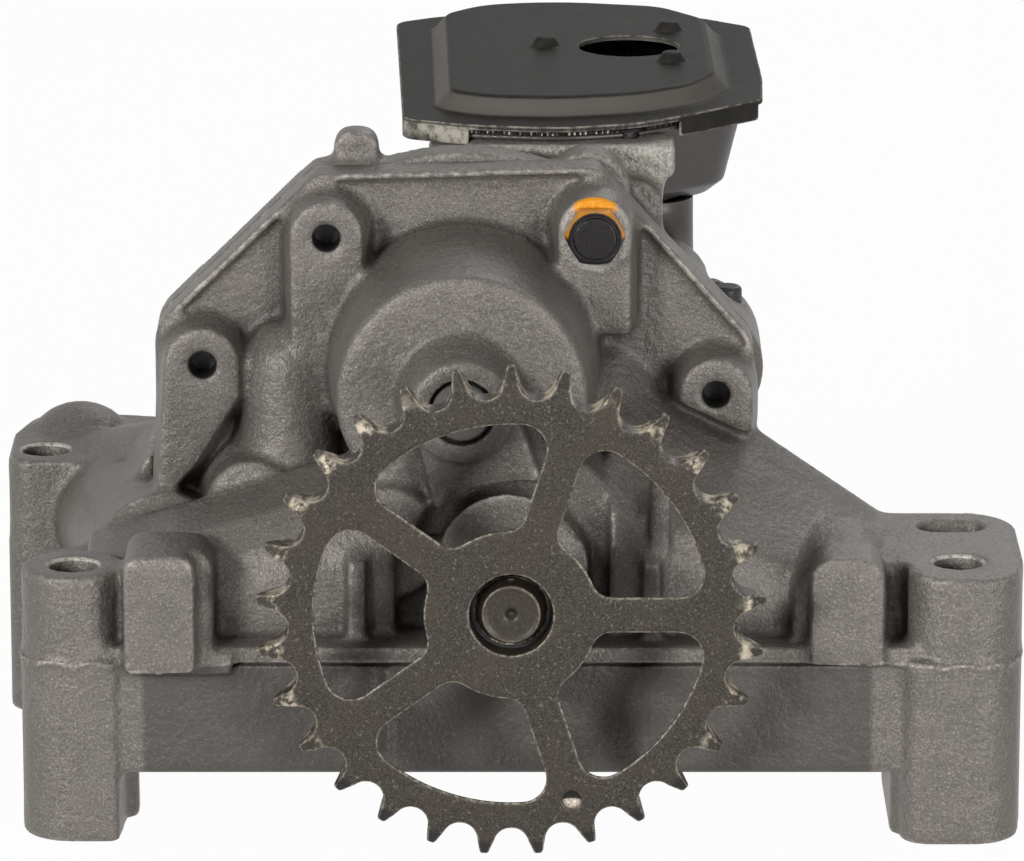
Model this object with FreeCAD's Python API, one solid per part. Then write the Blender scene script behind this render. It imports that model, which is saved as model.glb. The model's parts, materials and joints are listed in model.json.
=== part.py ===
import FreeCAD, Part
import math
import os

# Engine oil pump, in millimetres. X runs to the right, Y away from the sprocket side, Z up.
# The three bolt feet stand on z = 0, and the origin is under the middle of the pump.

# Roller chain and sprocket
chain_pitch = 9.525
chain_roller_radius = 3.175
sprocket_teeth = 29
sprocket_thickness = 5.3
sprocket_tip_radius = 46.6
tooth_bevel = 1.1
window_count = 5
window_inner_radius = 16.0
window_outer_radius = 35.9
spoke_half_width = 3.4
window_outer_corner = 4.5
window_inner_corner = 3.6
dimple_radius = 1.65
dimple_ring = 37.0
dimple_angle = 287.5

# Gears
gear_module = 3.0
gear_teeth = 11
gear_pressure_angle = 25.0
gear_width = 29.9
gear_backlash = 0.16
gear_end_clearance = 0.05
gear_tip_clearance = 0.08
gear_addendum = 0.97 * gear_module
gear_dedendum = 1.25 * gear_module

# Shaft and pin
shaft_x = 1.7
shaft_z = 50.0
shaft_radius = 6.4
shaft_end_chamfer = 0.8
pin_radius = 5.5
bush_wall = 1.5
running_clearance = 0.03
seat_clearance = 0.01
idler_lean = 16.05

# Planes across the shaft, from front to back
sprocket_front = -90.0
idler_boss_front = -66.5
drive_boss_front = -61.5
chamber_front = -56.5
bolt_boss_front = -34.5
plate_front = -27.5
seam = -18.5
cover_back = -10.5
bearing_boss_back = -4.0

# Gear chamber
chamber_wall = 3.8
chamber_flare = 3.6
chamber_edge = 1.8
idler_boss_radius = 9.5
idler_boss_foot_radius = 12.5
drive_boss_radius = 12.0

# Bolting plate and its bolts
bolt_a = (-33.0, 106.9)
bolt_b = (-56.5, 82.3)
bolt_c = (40.4, 76.5)
bolt_d = (17.4, 108.0)
bolt_boss_half_width = 6.8
bolt_boss_flare = 1.6
panel_depth = 2.2
panel_rim = 1.2
bolt_radius = 3.0
bolt_head_flats = 10.0
bolt_head_height = 5.0
bolt_flange_radius = 6.0
bolt_flange_height = 1.2
tapped_hole_radius = 2.55
bolt_hole_clearance = 0.3
rear_bolt_reach = 9.0
plate_left = -65.8
plate_right = 47.6
plate_bottom = 22.0
dowel_radius = 3.0
dowel_length = 9.0
dowel_places = ((-57.5, 67.5), (31.5, 96.5))

# Feet, wings and the lower wall
half_width = 97.2
foot_top = 51.5
foot_radius = 9.8
foot_hole_radius = 4.5
left_foot = (-half_width + 17.55, -61.6)
right_foot = (half_width - 12.3, -59.8)
rear_foot = (-half_width + 7.35, 18.4)
parting_height = 34.8
ledge_thickness = 3.0
lower_wall_bottom = 13.0
lower_wall_front = -69.5
lower_wall_thickness = 5.0
ledge_overhang = 0.9
recess_front = -62.5
rib_width = 5.0

# Pressure duct to the rear foot
duct_start = FreeCAD.Vector(left_foot[0] + 15.65, -38.0, 45.0)
duct_end = FreeCAD.Vector(rear_foot[0] + 12.85, rear_foot[1] + 3.6, 38.0)
duct_radius = 13.0
duct_bore = 5.5
outlet_x = rear_foot[0] + 5.7
outlet_y = rear_foot[1] + 17.6
outlet_height = 38.0
outlet_dome_radius = 11.5
outlet_dome_rise = 4.6

# Relief valve
valve_x = -47.4
valve_z = 56.5
valve_bore_radius = 6.0
valve_boss_radius = 8.5
valve_front = -40.0
valve_boss_back = 4.0
piston_length = 15.0
piston_wall = 1.2
piston_rest = -35.5
spring_wire = 1.3
spring_turns = 6
spring_mean_radius = 3.8
plug_radius = 7.0
plug_length = 9.0
plug_flats = 17.0
plug_head_height = 6.0
plug_washer_thickness = 1.5

# Strainer and suction side
rim_height = 121.5
rim_left = -21.2
rim_right = 51.2
rim_front = -4.5
rim_back = 100.0
sheet = 1.2
skirt_height = 4.2
tab_inner_left = -6.4
tab_inner_right = 34.0
dome_height = 3.6
dome_slope = 3.2
bump_height = 2.0
inlet_radius = 9.9
inlet_x = 25.0
inlet_y = 52.4
bump_ring = 16.5
bowl_depth = 20.0
bowl_left = -10.0
bowl_right = 43.0
bowl_front = 9.0
bowl_back = 78.0
elbow_bend_start = 11.0
strainer_screw_radius = 2.0
strainer_head_radius = 3.4
strainer_screw_depth = 5.2
shelf_thickness = 6.2
strainer_screw_places = (-3.0, 24.0)
strainer_screw_y = 3.2
mesh_thickness = 0.8
elbow_radius = 8.0
elbow_wall = 1.4
suction_x = 29.3
suction_z = 88.0
neck_back = 2.0
bulge_x = 36.9
bulge_z = 77.0
bulge_radius = 13.0
bulge_back = 9.0
gallery_screw_x = 43.3
gallery_screw_seat = 86.2
gallery_screw_radius = 1.6

# Worked out from the sizes above
pitch_radius = gear_module * gear_teeth / 2.0
centre_distance = 2.0 * pitch_radius
idler_x = shaft_x - centre_distance * math.sin(math.radians(idler_lean))
idler_z = shaft_z + centre_distance * math.cos(math.radians(idler_lean))
gear_tip_radius = pitch_radius + gear_addendum
gear_root_radius = pitch_radius - gear_dedendum
mesh_top = rim_height - sheet - 0.05
bowl_top = mesh_top - mesh_thickness - 0.05
shelf_top = bowl_top - sheet
elbow_bend = rim_height - bowl_depth - suction_z - 0.1
elbow_drop_y = elbow_bend_start + elbow_bend
chamber_bore_radius = gear_tip_radius + gear_tip_clearance
chamber_radius = chamber_bore_radius + chamber_wall
gear_front = seam - gear_width - gear_end_clearance
pocket_front = gear_front - gear_end_clearance
sprocket_back = sprocket_front + sprocket_thickness
sprocket_pitch_radius = chain_pitch / 2.0 / math.sin(math.pi / sprocket_teeth)


def point(x, y, z):
    return FreeCAD.Vector(x, y, z)


def rounded_wire(corners):
    """A closed wire through (point, radius) corners, each rounded by its own radius."""
    spans = []
    count = len(corners)
    for index in range(count):
        corner, radius = corners[index]
        back = corners[index - 1][0] - corner
        ahead = corners[(index + 1) % count][0] - corner
        back.normalize()
        ahead.normalize()
        if radius == 0:
            spans.append((corner, None, corner))
            continue
        half = back.getAngle(ahead) / 2.0
        reach = radius / math.tan(half)
        middle_way = back + ahead
        middle_way.normalize()
        middle = corner + middle_way * (radius / math.sin(half) - radius)
        spans.append((corner + back * reach, middle, corner + ahead * reach))
    edges = []
    for index in range(count):
        start, middle, end = spans[index]
        following = spans[(index + 1) % count][0]
        if middle is not None:
            edges.append(Part.Arc(start, middle, end).toShape())
        if end.distanceToPoint(following) > 1e-6:
            edges.append(Part.LineSegment(end, following).toShape())
    return Part.Wire(edges)


def wire_xz(outline, y):
    """Outline of (x, z, radius) corners in the plane across Y."""
    return rounded_wire([(point(x, y, z), radius) for x, z, radius in outline])


def wire_xy(outline, z):
    """Outline of (x, y, radius) corners in the horizontal plane."""
    return rounded_wire([(point(x, y, z), radius) for x, y, radius in outline])


def wire_yz(outline, x):
    """Outline of (y, z, radius) corners in the plane across X."""
    return rounded_wire([(point(x, y, z), radius) for y, z, radius in outline])


def plate_xz(outline, y_from, y_to):
    return Part.Face(wire_xz(outline, y_from)).extrude(point(0, y_to - y_from, 0))


def plate_xy(outline, z_from, z_to):
    return Part.Face(wire_xy(outline, z_from)).extrude(point(0, 0, z_to - z_from))


def plate_yz(outline, x_from, x_to):
    return Part.Face(wire_yz(outline, x_from)).extrude(point(x_to - x_from, 0, 0))


def box(x_from, x_to, y_from, y_to, z_from, z_to):
    return Part.makeBox(x_to - x_from, y_to - y_from, z_to - z_from, point(x_from, y_from, z_from))


def cylinder_y(x, z, radius, y_from, y_to):
    return Part.makeCylinder(radius, y_to - y_from, point(x, y_from, z), point(0, 1, 0))


def cylinder_z(x, y, radius, z_from, z_to):
    return Part.makeCylinder(radius, z_to - z_from, point(x, y, z_from), point(0, 0, 1))


def cone_y(x, z, front_radius, back_radius, y_from, y_to):
    return Part.makeCone(front_radius, back_radius, y_to - y_from, point(x, y_from, z), point(0, 1, 0))


def rod(start, end, radius):
    """A cylinder between two points."""
    return Part.makeCylinder(radius, start.distanceToPoint(end), start, end - start)


def boss_y(x, z, radius, y_front, y_back, edge, flare=0.0):
    """A boss along Y with a rounded front edge, wider at its back by the flare."""
    start = point(x, y_front, z)
    corners = [
        (start, 0),
        (point(x + radius, y_front, z), edge),
        (point(x + radius + flare, y_back, z), 0),
        (point(x, y_back, z), 0),
    ]
    return Part.Face(rounded_wire(corners)).revolve(start, point(0, 1, 0), 360)


def post_z(x, y, radius, z_bottom, z_top, edge):
    """A post along Z with a rounded top edge."""
    start = point(x, y, z_top)
    corners = [
        (start, 0),
        (point(x + radius, y, z_top), edge),
        (point(x + radius, y, z_bottom), 0),
        (point(x, y, z_bottom), 0),
    ]
    return Part.Face(rounded_wire(corners)).revolve(start, point(0, 0, 1), 360)


def fused(shapes):
    first = shapes[0]
    return first.multiFuse(shapes[1:]).removeSplitter()


def soften_front(shape, y_front, radius):
    """Rounds every edge that lies in the front plane of a simple block."""
    chosen = []
    for edge in shape.Edges:
        box_of_edge = edge.BoundBox
        if abs(box_of_edge.YMin - y_front) < 1e-4 and abs(box_of_edge.YMax - y_front) < 1e-4:
            chosen.append(edge)
    return shape.makeFillet(radius, chosen)


def soften_top(shape, z_top, radius):
    """Rounds every edge that lies in the top plane of a simple block."""
    chosen = []
    for edge in shape.Edges:
        box_of_edge = edge.BoundBox
        if abs(box_of_edge.ZMin - z_top) < 1e-4 and abs(box_of_edge.ZMax - z_top) < 1e-4:
            chosen.append(edge)
    return shape.makeFillet(radius, chosen)


def loft(wires):
    return Part.makeLoft(wires, True, True)


# The outline that the front plate and the rear cover share, the cover with a lower upper right corner
def plate_outline(bottom, right_drop=0.0):
    return [
        (plate_left, bottom, 6.0),
        (plate_left, bolt_b[1] + 5.7, 8.0),
        (bolt_a[0] - 2.5, bolt_a[1] + 10.6, 5.0),
        (bolt_d[0] + 0.7, bolt_d[1] + 11.0 - right_drop, 4.0),
        (plate_right, bolt_c[1] + 8.8, 5.0),
        (plate_right, bottom, 6.0),
    ]


# Bolt bosses on the front of the plate
def bolt_boss(bolt, y_front, lower_corners):
    x, z = bolt
    half = bolt_boss_half_width
    outline = [(x + half, z + half, half - 0.1), (x - half, z + half, half - 0.1)]
    outline = outline + lower_corners
    base = Part.Face(wire_xz(outline, plate_front + panel_depth + 0.5)).makeOffset2D(bolt_boss_flare)
    boss = loft([wire_xz(outline, y_front), base.OuterWire])
    return soften_front(boss, y_front, 0.8)


def bolt_bosses():
    half = bolt_boss_half_width
    boss_a = bolt_boss(bolt_a, bolt_boss_front, [
        (bolt_a[0] - half, bolt_a[1] - 30.0, 1.5),
        (bolt_a[0] + half, bolt_a[1] - 36.8, 1.5),
    ])
    boss_b = bolt_boss(bolt_b, bolt_boss_front, [
        (plate_left + 0.4, bolt_b[1] - 27.5, 1.5),
        (bolt_b[0] - 1.7, bolt_b[1] - 19.6, 1.5),
        (bolt_b[0] + half, bolt_b[1] - 6.0, 3.0),
    ])
    boss_c = bolt_boss(bolt_c, bolt_boss_front, [
        (bolt_c[0] - half, bolt_c[1] - 1.5, 1.5),
        (bolt_c[0] + half, bolt_c[1] - 8.0, 1.0),
    ])
    boss_d = bolt_boss(bolt_d, bolt_boss_front, [
        (bolt_d[0] - half, bolt_d[1] - 19.0, 1.5),
        (bolt_d[0] + half, bolt_d[1] - 19.8, 1.5),
    ])
    return [boss_a, boss_b, boss_c, boss_d]


# The front of the plate lies below a thin rim along its edge
def sunken_face():
    face = Part.Face(wire_xz(plate_outline(plate_bottom), plate_front - 1.0)).makeOffset2D(-panel_rim)
    return face.extrude(point(0, 1.0 + panel_depth, 0))


# The figure-eight gear chamber with its two bearing bosses
def chamber_outside():
    drive = boss_y(shaft_x, shaft_z, chamber_radius, chamber_front, seam, chamber_edge, chamber_flare)
    idler = boss_y(idler_x, idler_z, chamber_radius, chamber_front, seam, chamber_edge, chamber_flare)
    idler_boss = boss_y(idler_x, idler_z, idler_boss_radius, idler_boss_front, chamber_front + 1.0,
                        1.2, idler_boss_foot_radius - idler_boss_radius)
    drive_boss = boss_y(shaft_x, shaft_z, drive_boss_radius, drive_boss_front, chamber_front + 1.0, 1.5)
    lean = math.radians(idler_lean)
    across = point(math.cos(lean), 0, math.sin(lean))
    low = point(shaft_x, 0, shaft_z)
    high = point(idler_x, 0, idler_z)
    web_corners = []
    for centre, side, radius, front in (
        (low, -1, drive_boss_radius, drive_boss_front + 0.6),
        (low, 1, drive_boss_radius, drive_boss_front + 0.6),
        (high, 1, idler_boss_radius, idler_boss_front + 1.2),
        (high, -1, idler_boss_radius, idler_boss_front + 1.2),
    ):
        web_corners.append(centre + across * (side * (radius - 0.4)) + point(0, front, 0))
    web_face = Part.Face(Part.makePolygon(web_corners + [web_corners[0]]))
    web = web_face.extrude(point(0, chamber_front + 2.0 - drive_boss_front, 0))
    gallery_boss = boss_y(shaft_x - 23.6, shaft_z + 4.6, 11.0, chamber_front - 3.5, seam, 1.5)
    return [drive, idler, idler_boss, drive_boss, web, gallery_boss]


def chamber_inside():
    drive = cylinder_y(shaft_x, shaft_z, chamber_bore_radius, pocket_front, seam + 1.0)
    idler = cylinder_y(idler_x, idler_z, chamber_bore_radius, pocket_front, seam + 1.0)
    bush_bore = cylinder_y(shaft_x, shaft_z, shaft_radius + running_clearance + bush_wall + seat_clearance,
                           drive_boss_front + 1.5, pocket_front + 1.0)
    shaft_bore = cylinder_y(shaft_x, shaft_z, shaft_radius + 0.6, idler_boss_front - 1.0, pocket_front)
    pin_bore = cylinder_y(idler_x, idler_z, pin_radius + seat_clearance, idler_boss_front - 1.0, pocket_front + 1.0)
    pin_chamfer = cone_y(idler_x, idler_z, pin_radius + 0.7, pin_radius, idler_boss_front - 0.01,
                         idler_boss_front + 1.2)
    lean = math.radians(idler_lean)
    mid_x = (shaft_x + idler_x) / 2.0
    mid_z = (shaft_z + idler_z) / 2.0
    ports = []
    for side in (-1, 1):
        x = mid_x + side * 14.0 * math.cos(lean)
        z = mid_z + side * 14.0 * math.sin(lean)
        ports.append(cylinder_y(x, z, 6.5, pocket_front + 5.0, seam + 1.0))
    return [drive, idler, bush_bore, shaft_bore, pin_bore, pin_chamfer] + ports


# One wing: cross-sections across X, joined along X
def wing_section(x, crest_y, crest_z, shoulder_z, brow_z, back_z, floor_z):
    outline = [
        (seam, floor_z, 0),
        (seam, back_z, 0),
        (crest_y + 6.0, crest_z - 3.0, 0),
        (crest_y, crest_z, 0),
        (crest_y - 14.0, shoulder_z, 0),
        (recess_front + 2.5, brow_z, 0),
        (recess_front, brow_z - 6.0, 0),
        (recess_front, floor_z, 0),
    ]
    return wire_yz(outline, x)


def wings():
    left = loft([
        wing_section(left_foot[0] + 1.65, -38.0, 51.0, 49.5, 46.5, 45.0, 31.0),
        wing_section(left_foot[0] + 11.65, -40.0, 54.5, 51.8, 48.5, 46.0, 31.0),
        wing_section(-20.0, -40.0, 70.0, 66.5, 60.0, 60.0, 31.0),
    ])
    right = loft([
        wing_section(20.0, -27.0, 79.0, 72.0, 62.0, 78.0, 31.0),
        wing_section(48.0, -27.0, 68.3, 62.5, 52.5, 66.0, 31.0),
        wing_section(right_foot[0] - 11.9, -27.0, 51.0, 50.0, 46.5, 49.0, 31.0),
    ])
    return [left, right]


# Pads beside the front feet
def pads():
    left_x = left_foot[0]
    right_x = right_foot[0]
    low = parting_height
    left_front = plate_xz([
        (left_x + 9.9, low, 1.0), (left_x + 23.2, low, 1.0),
        (left_x + 23.2, low + 22.4, 3.0), (left_x + 9.9, low + 22.4, 3.0)], -77.3, -60.0)
    left_front = soften_front(left_front, -77.3, 1.0)
    left_back = plate_xz([
        (left_x + 10.2, low - 2.0, 1.0), (left_x + 26.2, low - 2.0, 1.0),
        (left_x + 26.2, low + 22.2, 4.0), (left_x + 10.2, low + 22.2, 4.0)], -72.0, -59.0)
    left_back = soften_front(left_back, -72.0, 0.8)
    left_strip = box(left_x + 12.0, left_x + 29.5, -71.6, -66.0, low - 2.0, low + 2.0)
    right_front = plate_xz([
        (right_x - 27.8, low, 1.0), (right_x - 14.1, low, 1.0),
        (right_x - 14.1, low + 20.6, 4.0), (right_x - 27.8, low + 20.6, 4.0)], -72.4, -60.0)
    right_front = soften_front(right_front, -72.4, 1.2)
    hump = loft([
        wire_xz([(right_x - 31.3, low - 2.5, 1.0), (right_x - 13.6, low - 2.5, 1.0),
                 (right_x - 13.6, low + 18.8, 6.0), (right_x - 30.3, low + 18.8, 7.0)], -67.0),
        wire_xz([(right_x - 32.6, low - 2.5, 1.0), (right_x - 12.4, low - 2.5, 1.0),
                 (right_x - 12.4, low + 21.0, 8.0), (right_x - 31.4, low + 21.0, 8.5)], -44.0),
    ])
    return [left_front, left_back, left_strip, right_front, hump]


# The three bolt feet
def feet():
    left_x, left_y = left_foot
    right_x, right_y = right_foot
    rear_x, rear_y = rear_foot
    left_post = post_z(left_x, left_y, foot_radius, parting_height - 1.0, foot_top, 0.8)
    left_low = plate_xy([
        (left_x - foot_radius - 0.3, left_y - foot_radius, foot_radius - 0.5),
        (left_x + foot_radius - 1.5, left_y - foot_radius, 2.0),
        (left_x + foot_radius - 0.5, left_y + 5.0, 1.0),
        (left_x + foot_radius + 1.4, left_y + 5.0, 1.0),
        (left_x + foot_radius + 1.4, left_y + 13.0, 3.0),
        (left_x - foot_radius - 0.3, left_y + 13.0, 3.0)], 0.0, parting_height)
    left_back = plate_xy([
        (left_x - foot_radius, left_y, 0),
        (left_x + foot_radius + 4.0, left_y, 0),
        (left_x + foot_radius + 4.0, left_y + 33.2, 0),
        (left_x - foot_radius + 3.0, left_y + 33.2, 8.0)], 20.0, foot_top - 6.0)
    right_high = plate_xy([
        (right_x - foot_radius + 0.2, right_y - 12.7, 8.0),
        (right_x + foot_radius + 0.6, right_y - 12.7, 8.5),
        (half_width, right_y + 1.5, 6.0),
        (half_width, right_y + 33.5, 11.0),
        (right_x - foot_radius - 4.0, right_y + 33.5, 0.5),
        (right_x - foot_radius - 3.2, right_y - 1.5, 1.0),
        (right_x - foot_radius + 0.2, right_y - 1.5, 1.0)], parting_height - 1.0, foot_top)
    right_high = soften_top(right_high, foot_top, 0.7)
    right_low = plate_xy([
        (right_x - foot_radius - 1.0, right_y - 13.2, 5.0),
        (right_x + foot_radius + 1.0, right_y - 13.2, 8.5),
        (half_width, right_y + 1.5, 6.0),
        (half_width, right_y + 28.5, 9.0),
        (right_x - foot_radius - 2.6, right_y + 28.5, 4.0),
        (right_x - foot_radius - 2.6, right_y - 6.5, 1.0),
        (right_x - foot_radius - 1.0, right_y - 6.5, 1.0)], 0.0, parting_height)
    rear_high = plate_xy([
        (-half_width + 0.2, rear_y - 9.6, 5.0),
        (rear_x + 22.0, rear_y - 9.6, 0.5),
        (rear_x + 25.0, rear_y + 24.0, 6.0),
        (rear_x - 2.5, rear_y + 29.5, 10.0),
        (-half_width + 0.2, rear_y + 12.0, 4.0)], parting_height, foot_top)
    rear_high = soften_top(rear_high, foot_top, 0.7)
    rear_low = plate_xy([
        (-half_width, rear_y - 9.8, 5.0),
        (rear_x + 14.0, rear_y - 9.8, 4.0),
        (rear_x + 18.0, rear_y + 24.0, 9.0),
        (rear_x - 2.5, rear_y + 29.5, 10.0),
        (-half_width, rear_y + 12.0, 4.0)], 0.0, parting_height)
    dome_middle = foot_top + outlet_dome_rise - outlet_dome_radius
    dome = Part.makeSphere(outlet_dome_radius, point(outlet_x, outlet_y, dome_middle))
    return [left_post, left_low, left_back, right_high, right_low, rear_high, rear_low, dome]


# The pressure duct from the left wing to the rear foot
def pressure_duct():
    duct = rod(duct_start, duct_end, duct_radius)
    knuckle = Part.makeSphere(duct_radius, duct_end)
    crest = point(rear_foot[0] + 26.85, 6.0, 50.0)
    riser = rod(point(rear_foot[0] + 5.85, 30.0, 40.0), crest, 11.0)
    saddle = rod(crest, point(left_foot[0] + 19.65, -17.0, 52.0), 11.0)
    return [duct, knuckle, riser, saddle]


def pressure_bores():
    port_x = (shaft_x + idler_x) / 2.0 - 14.0
    port_z = (shaft_z + idler_z) / 2.0 - 4.0
    gallery = rod(point(port_x, -33.0, port_z), duct_start, duct_bore)
    along = rod(duct_start, duct_end, duct_bore)
    turn = Part.makeSphere(duct_bore, duct_start)
    far_turn = Part.makeSphere(duct_bore, duct_end)
    across = rod(duct_end, point(outlet_x, outlet_y, outlet_height), duct_bore)
    outlet = cylinder_z(outlet_x, outlet_y, duct_bore, -1.0, outlet_height)
    return [gallery, along, turn, far_turn, across, outlet]


# The lower wall between the front feet, with the ledge above it and the ribs
def lower_frame():
    left_end = left_foot[0] + 4.0
    right_end = right_foot[0] - 4.0
    wall = box(left_end, right_end, lower_wall_front, lower_wall_front + lower_wall_thickness,
               lower_wall_bottom, parting_height + 0.5)
    ledge = box(left_end, right_end, lower_wall_front - ledge_overhang, recess_front + 2.0,
                parting_height, parting_height + ledge_thickness)
    deck = box(left_end, right_end, recess_front, seam, 31.0, parting_height + ledge_thickness)
    back_wall = box(plate_left, plate_right, plate_front, seam, plate_bottom, 40.0)
    ribs = []
    for x in (-25.5, 26.5):
        ribs.append(box(x - rib_width / 2, x + rib_width / 2, lower_wall_front + 1.0, seam,
                        lower_wall_bottom + 3.0, 33.0))
    for x in (-27.0, 1.0, 27.8):
        ribs.append(plate_yz([
            (lower_wall_front + 3.5, parting_height, 0),
            (lower_wall_front + 4.2, shaft_z + 2.0, 0),
            (chamber_front + 6.0, shaft_z + 12.0, 0),
            (chamber_front + 6.0, parting_height, 0)], x - 1.7, x + 1.7))
    front_ribs = []
    for x in (-25.0, 25.0):
        front_ribs.append(box(x - 1.5, x + 1.5, lower_wall_front - 0.6, lower_wall_front + 1.0,
                              lower_wall_bottom, parting_height))
    return [wall, ledge, deck, back_wall] + ribs + front_ribs


# Swellings below the bolt bosses: a rounded one at the left, a flat slope at the right
def front_swellings():
    left = rod(point(valve_x + 7.0, plate_front + 1.0, 80.0), point(valve_x + 7.0, plate_front - 1.0, 52.0), 9.3)
    left_top = Part.makeSphere(9.3, point(valve_x + 7.0, plate_front + 1.0, 80.0))
    right = loft([
        wire_xz([(12.5, 50.0, 0), (44.0, 50.0, 0), (44.0, 68.0, 3.0), (32.5, 75.5, 4.0), (22.5, 84.5, 3.0),
                 (12.5, 86.5, 1.0)], plate_front + panel_depth + 1.0),
        wire_xz([(12.5, 50.0, 0), (36.0, 50.0, 0), (36.0, 58.0, 3.0), (30.0, 63.0, 4.0), (22.5, 67.5, 3.0),
                 (12.5, 68.5, 1.0)], plate_front - 13.0),
    ])
    nub = plate_xz([(8.0, 93.5, 0), (14.0, 97.5, 0), (14.0, 88.0, 0), (11.5, 89.0, 0)],
                   bolt_boss_front - 1.5, plate_front + panel_depth)
    return [left, left_top, right, nub]


def pump_body():
    plate = plate_xz(plate_outline(plate_bottom), plate_front, seam)
    plate = plate.cut(sunken_face())
    valve_boss = boss_y(valve_x, valve_z, valve_boss_radius, valve_front, seam, 1.5)
    solids = [plate, valve_boss]
    solids = solids + chamber_outside() + bolt_bosses() + wings() + pads() + feet()
    solids = solids + pressure_duct() + lower_frame() + front_swellings()
    body = solids[0].multiFuse(solids[1:])
    behind = box(plate_left - 1.0, 120.0, seam, 120.0, -1.0, 140.0)
    body = body.cut(behind)

    cuts = chamber_inside() + pressure_bores()
    cuts.append(cylinder_y(valve_x, valve_z, valve_bore_radius, valve_front + 3.5, seam + 1.0))
    for x, y in (left_foot, right_foot, rear_foot):
        cuts.append(cylinder_z(x, y, foot_hole_radius, -1.0, foot_top + 1.0))
        cuts.append(Part.makeCone(foot_hole_radius + 0.6, foot_hole_radius, 0.6, point(x, y, 0.0)))
        cuts.append(Part.makeCone(foot_hole_radius, foot_hole_radius + 0.6, 0.6,
                                  point(x, y, foot_top - 0.6)))
    pocket_x, pocket_y = right_foot[0], right_foot[1] + 23.5
    cuts.append(plate_xy([
        (pocket_x - 6.2, pocket_y - 3.2, 3.1), (pocket_x + 6.2, pocket_y - 3.2, 3.1),
        (pocket_x + 6.2, pocket_y + 3.2, 3.1), (pocket_x - 6.2, pocket_y + 3.2, 3.1)],
        foot_top - 3.0, foot_top + 1.0))
    for x, z in (bolt_a, bolt_b, bolt_c):
        cuts.append(cylinder_y(x, z, tapped_hole_radius, bolt_boss_front - 1.0, seam))
        cuts.append(cylinder_y(x, z, bolt_radius + seat_clearance, seam - rear_bolt_reach - 0.5, seam + 1.0))
    cuts.append(cylinder_y(bolt_d[0], bolt_d[1], bolt_radius + bolt_hole_clearance, bolt_boss_front - 1.0,
                           seam + 1.0))
    for x, z in dowel_places:
        cuts.append(cylinder_y(x, z, dowel_radius + seat_clearance, seam - dowel_length / 2 - 0.2, seam + 1.0))
    return body.cut(Part.makeCompound(cuts)).removeSplitter()


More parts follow.
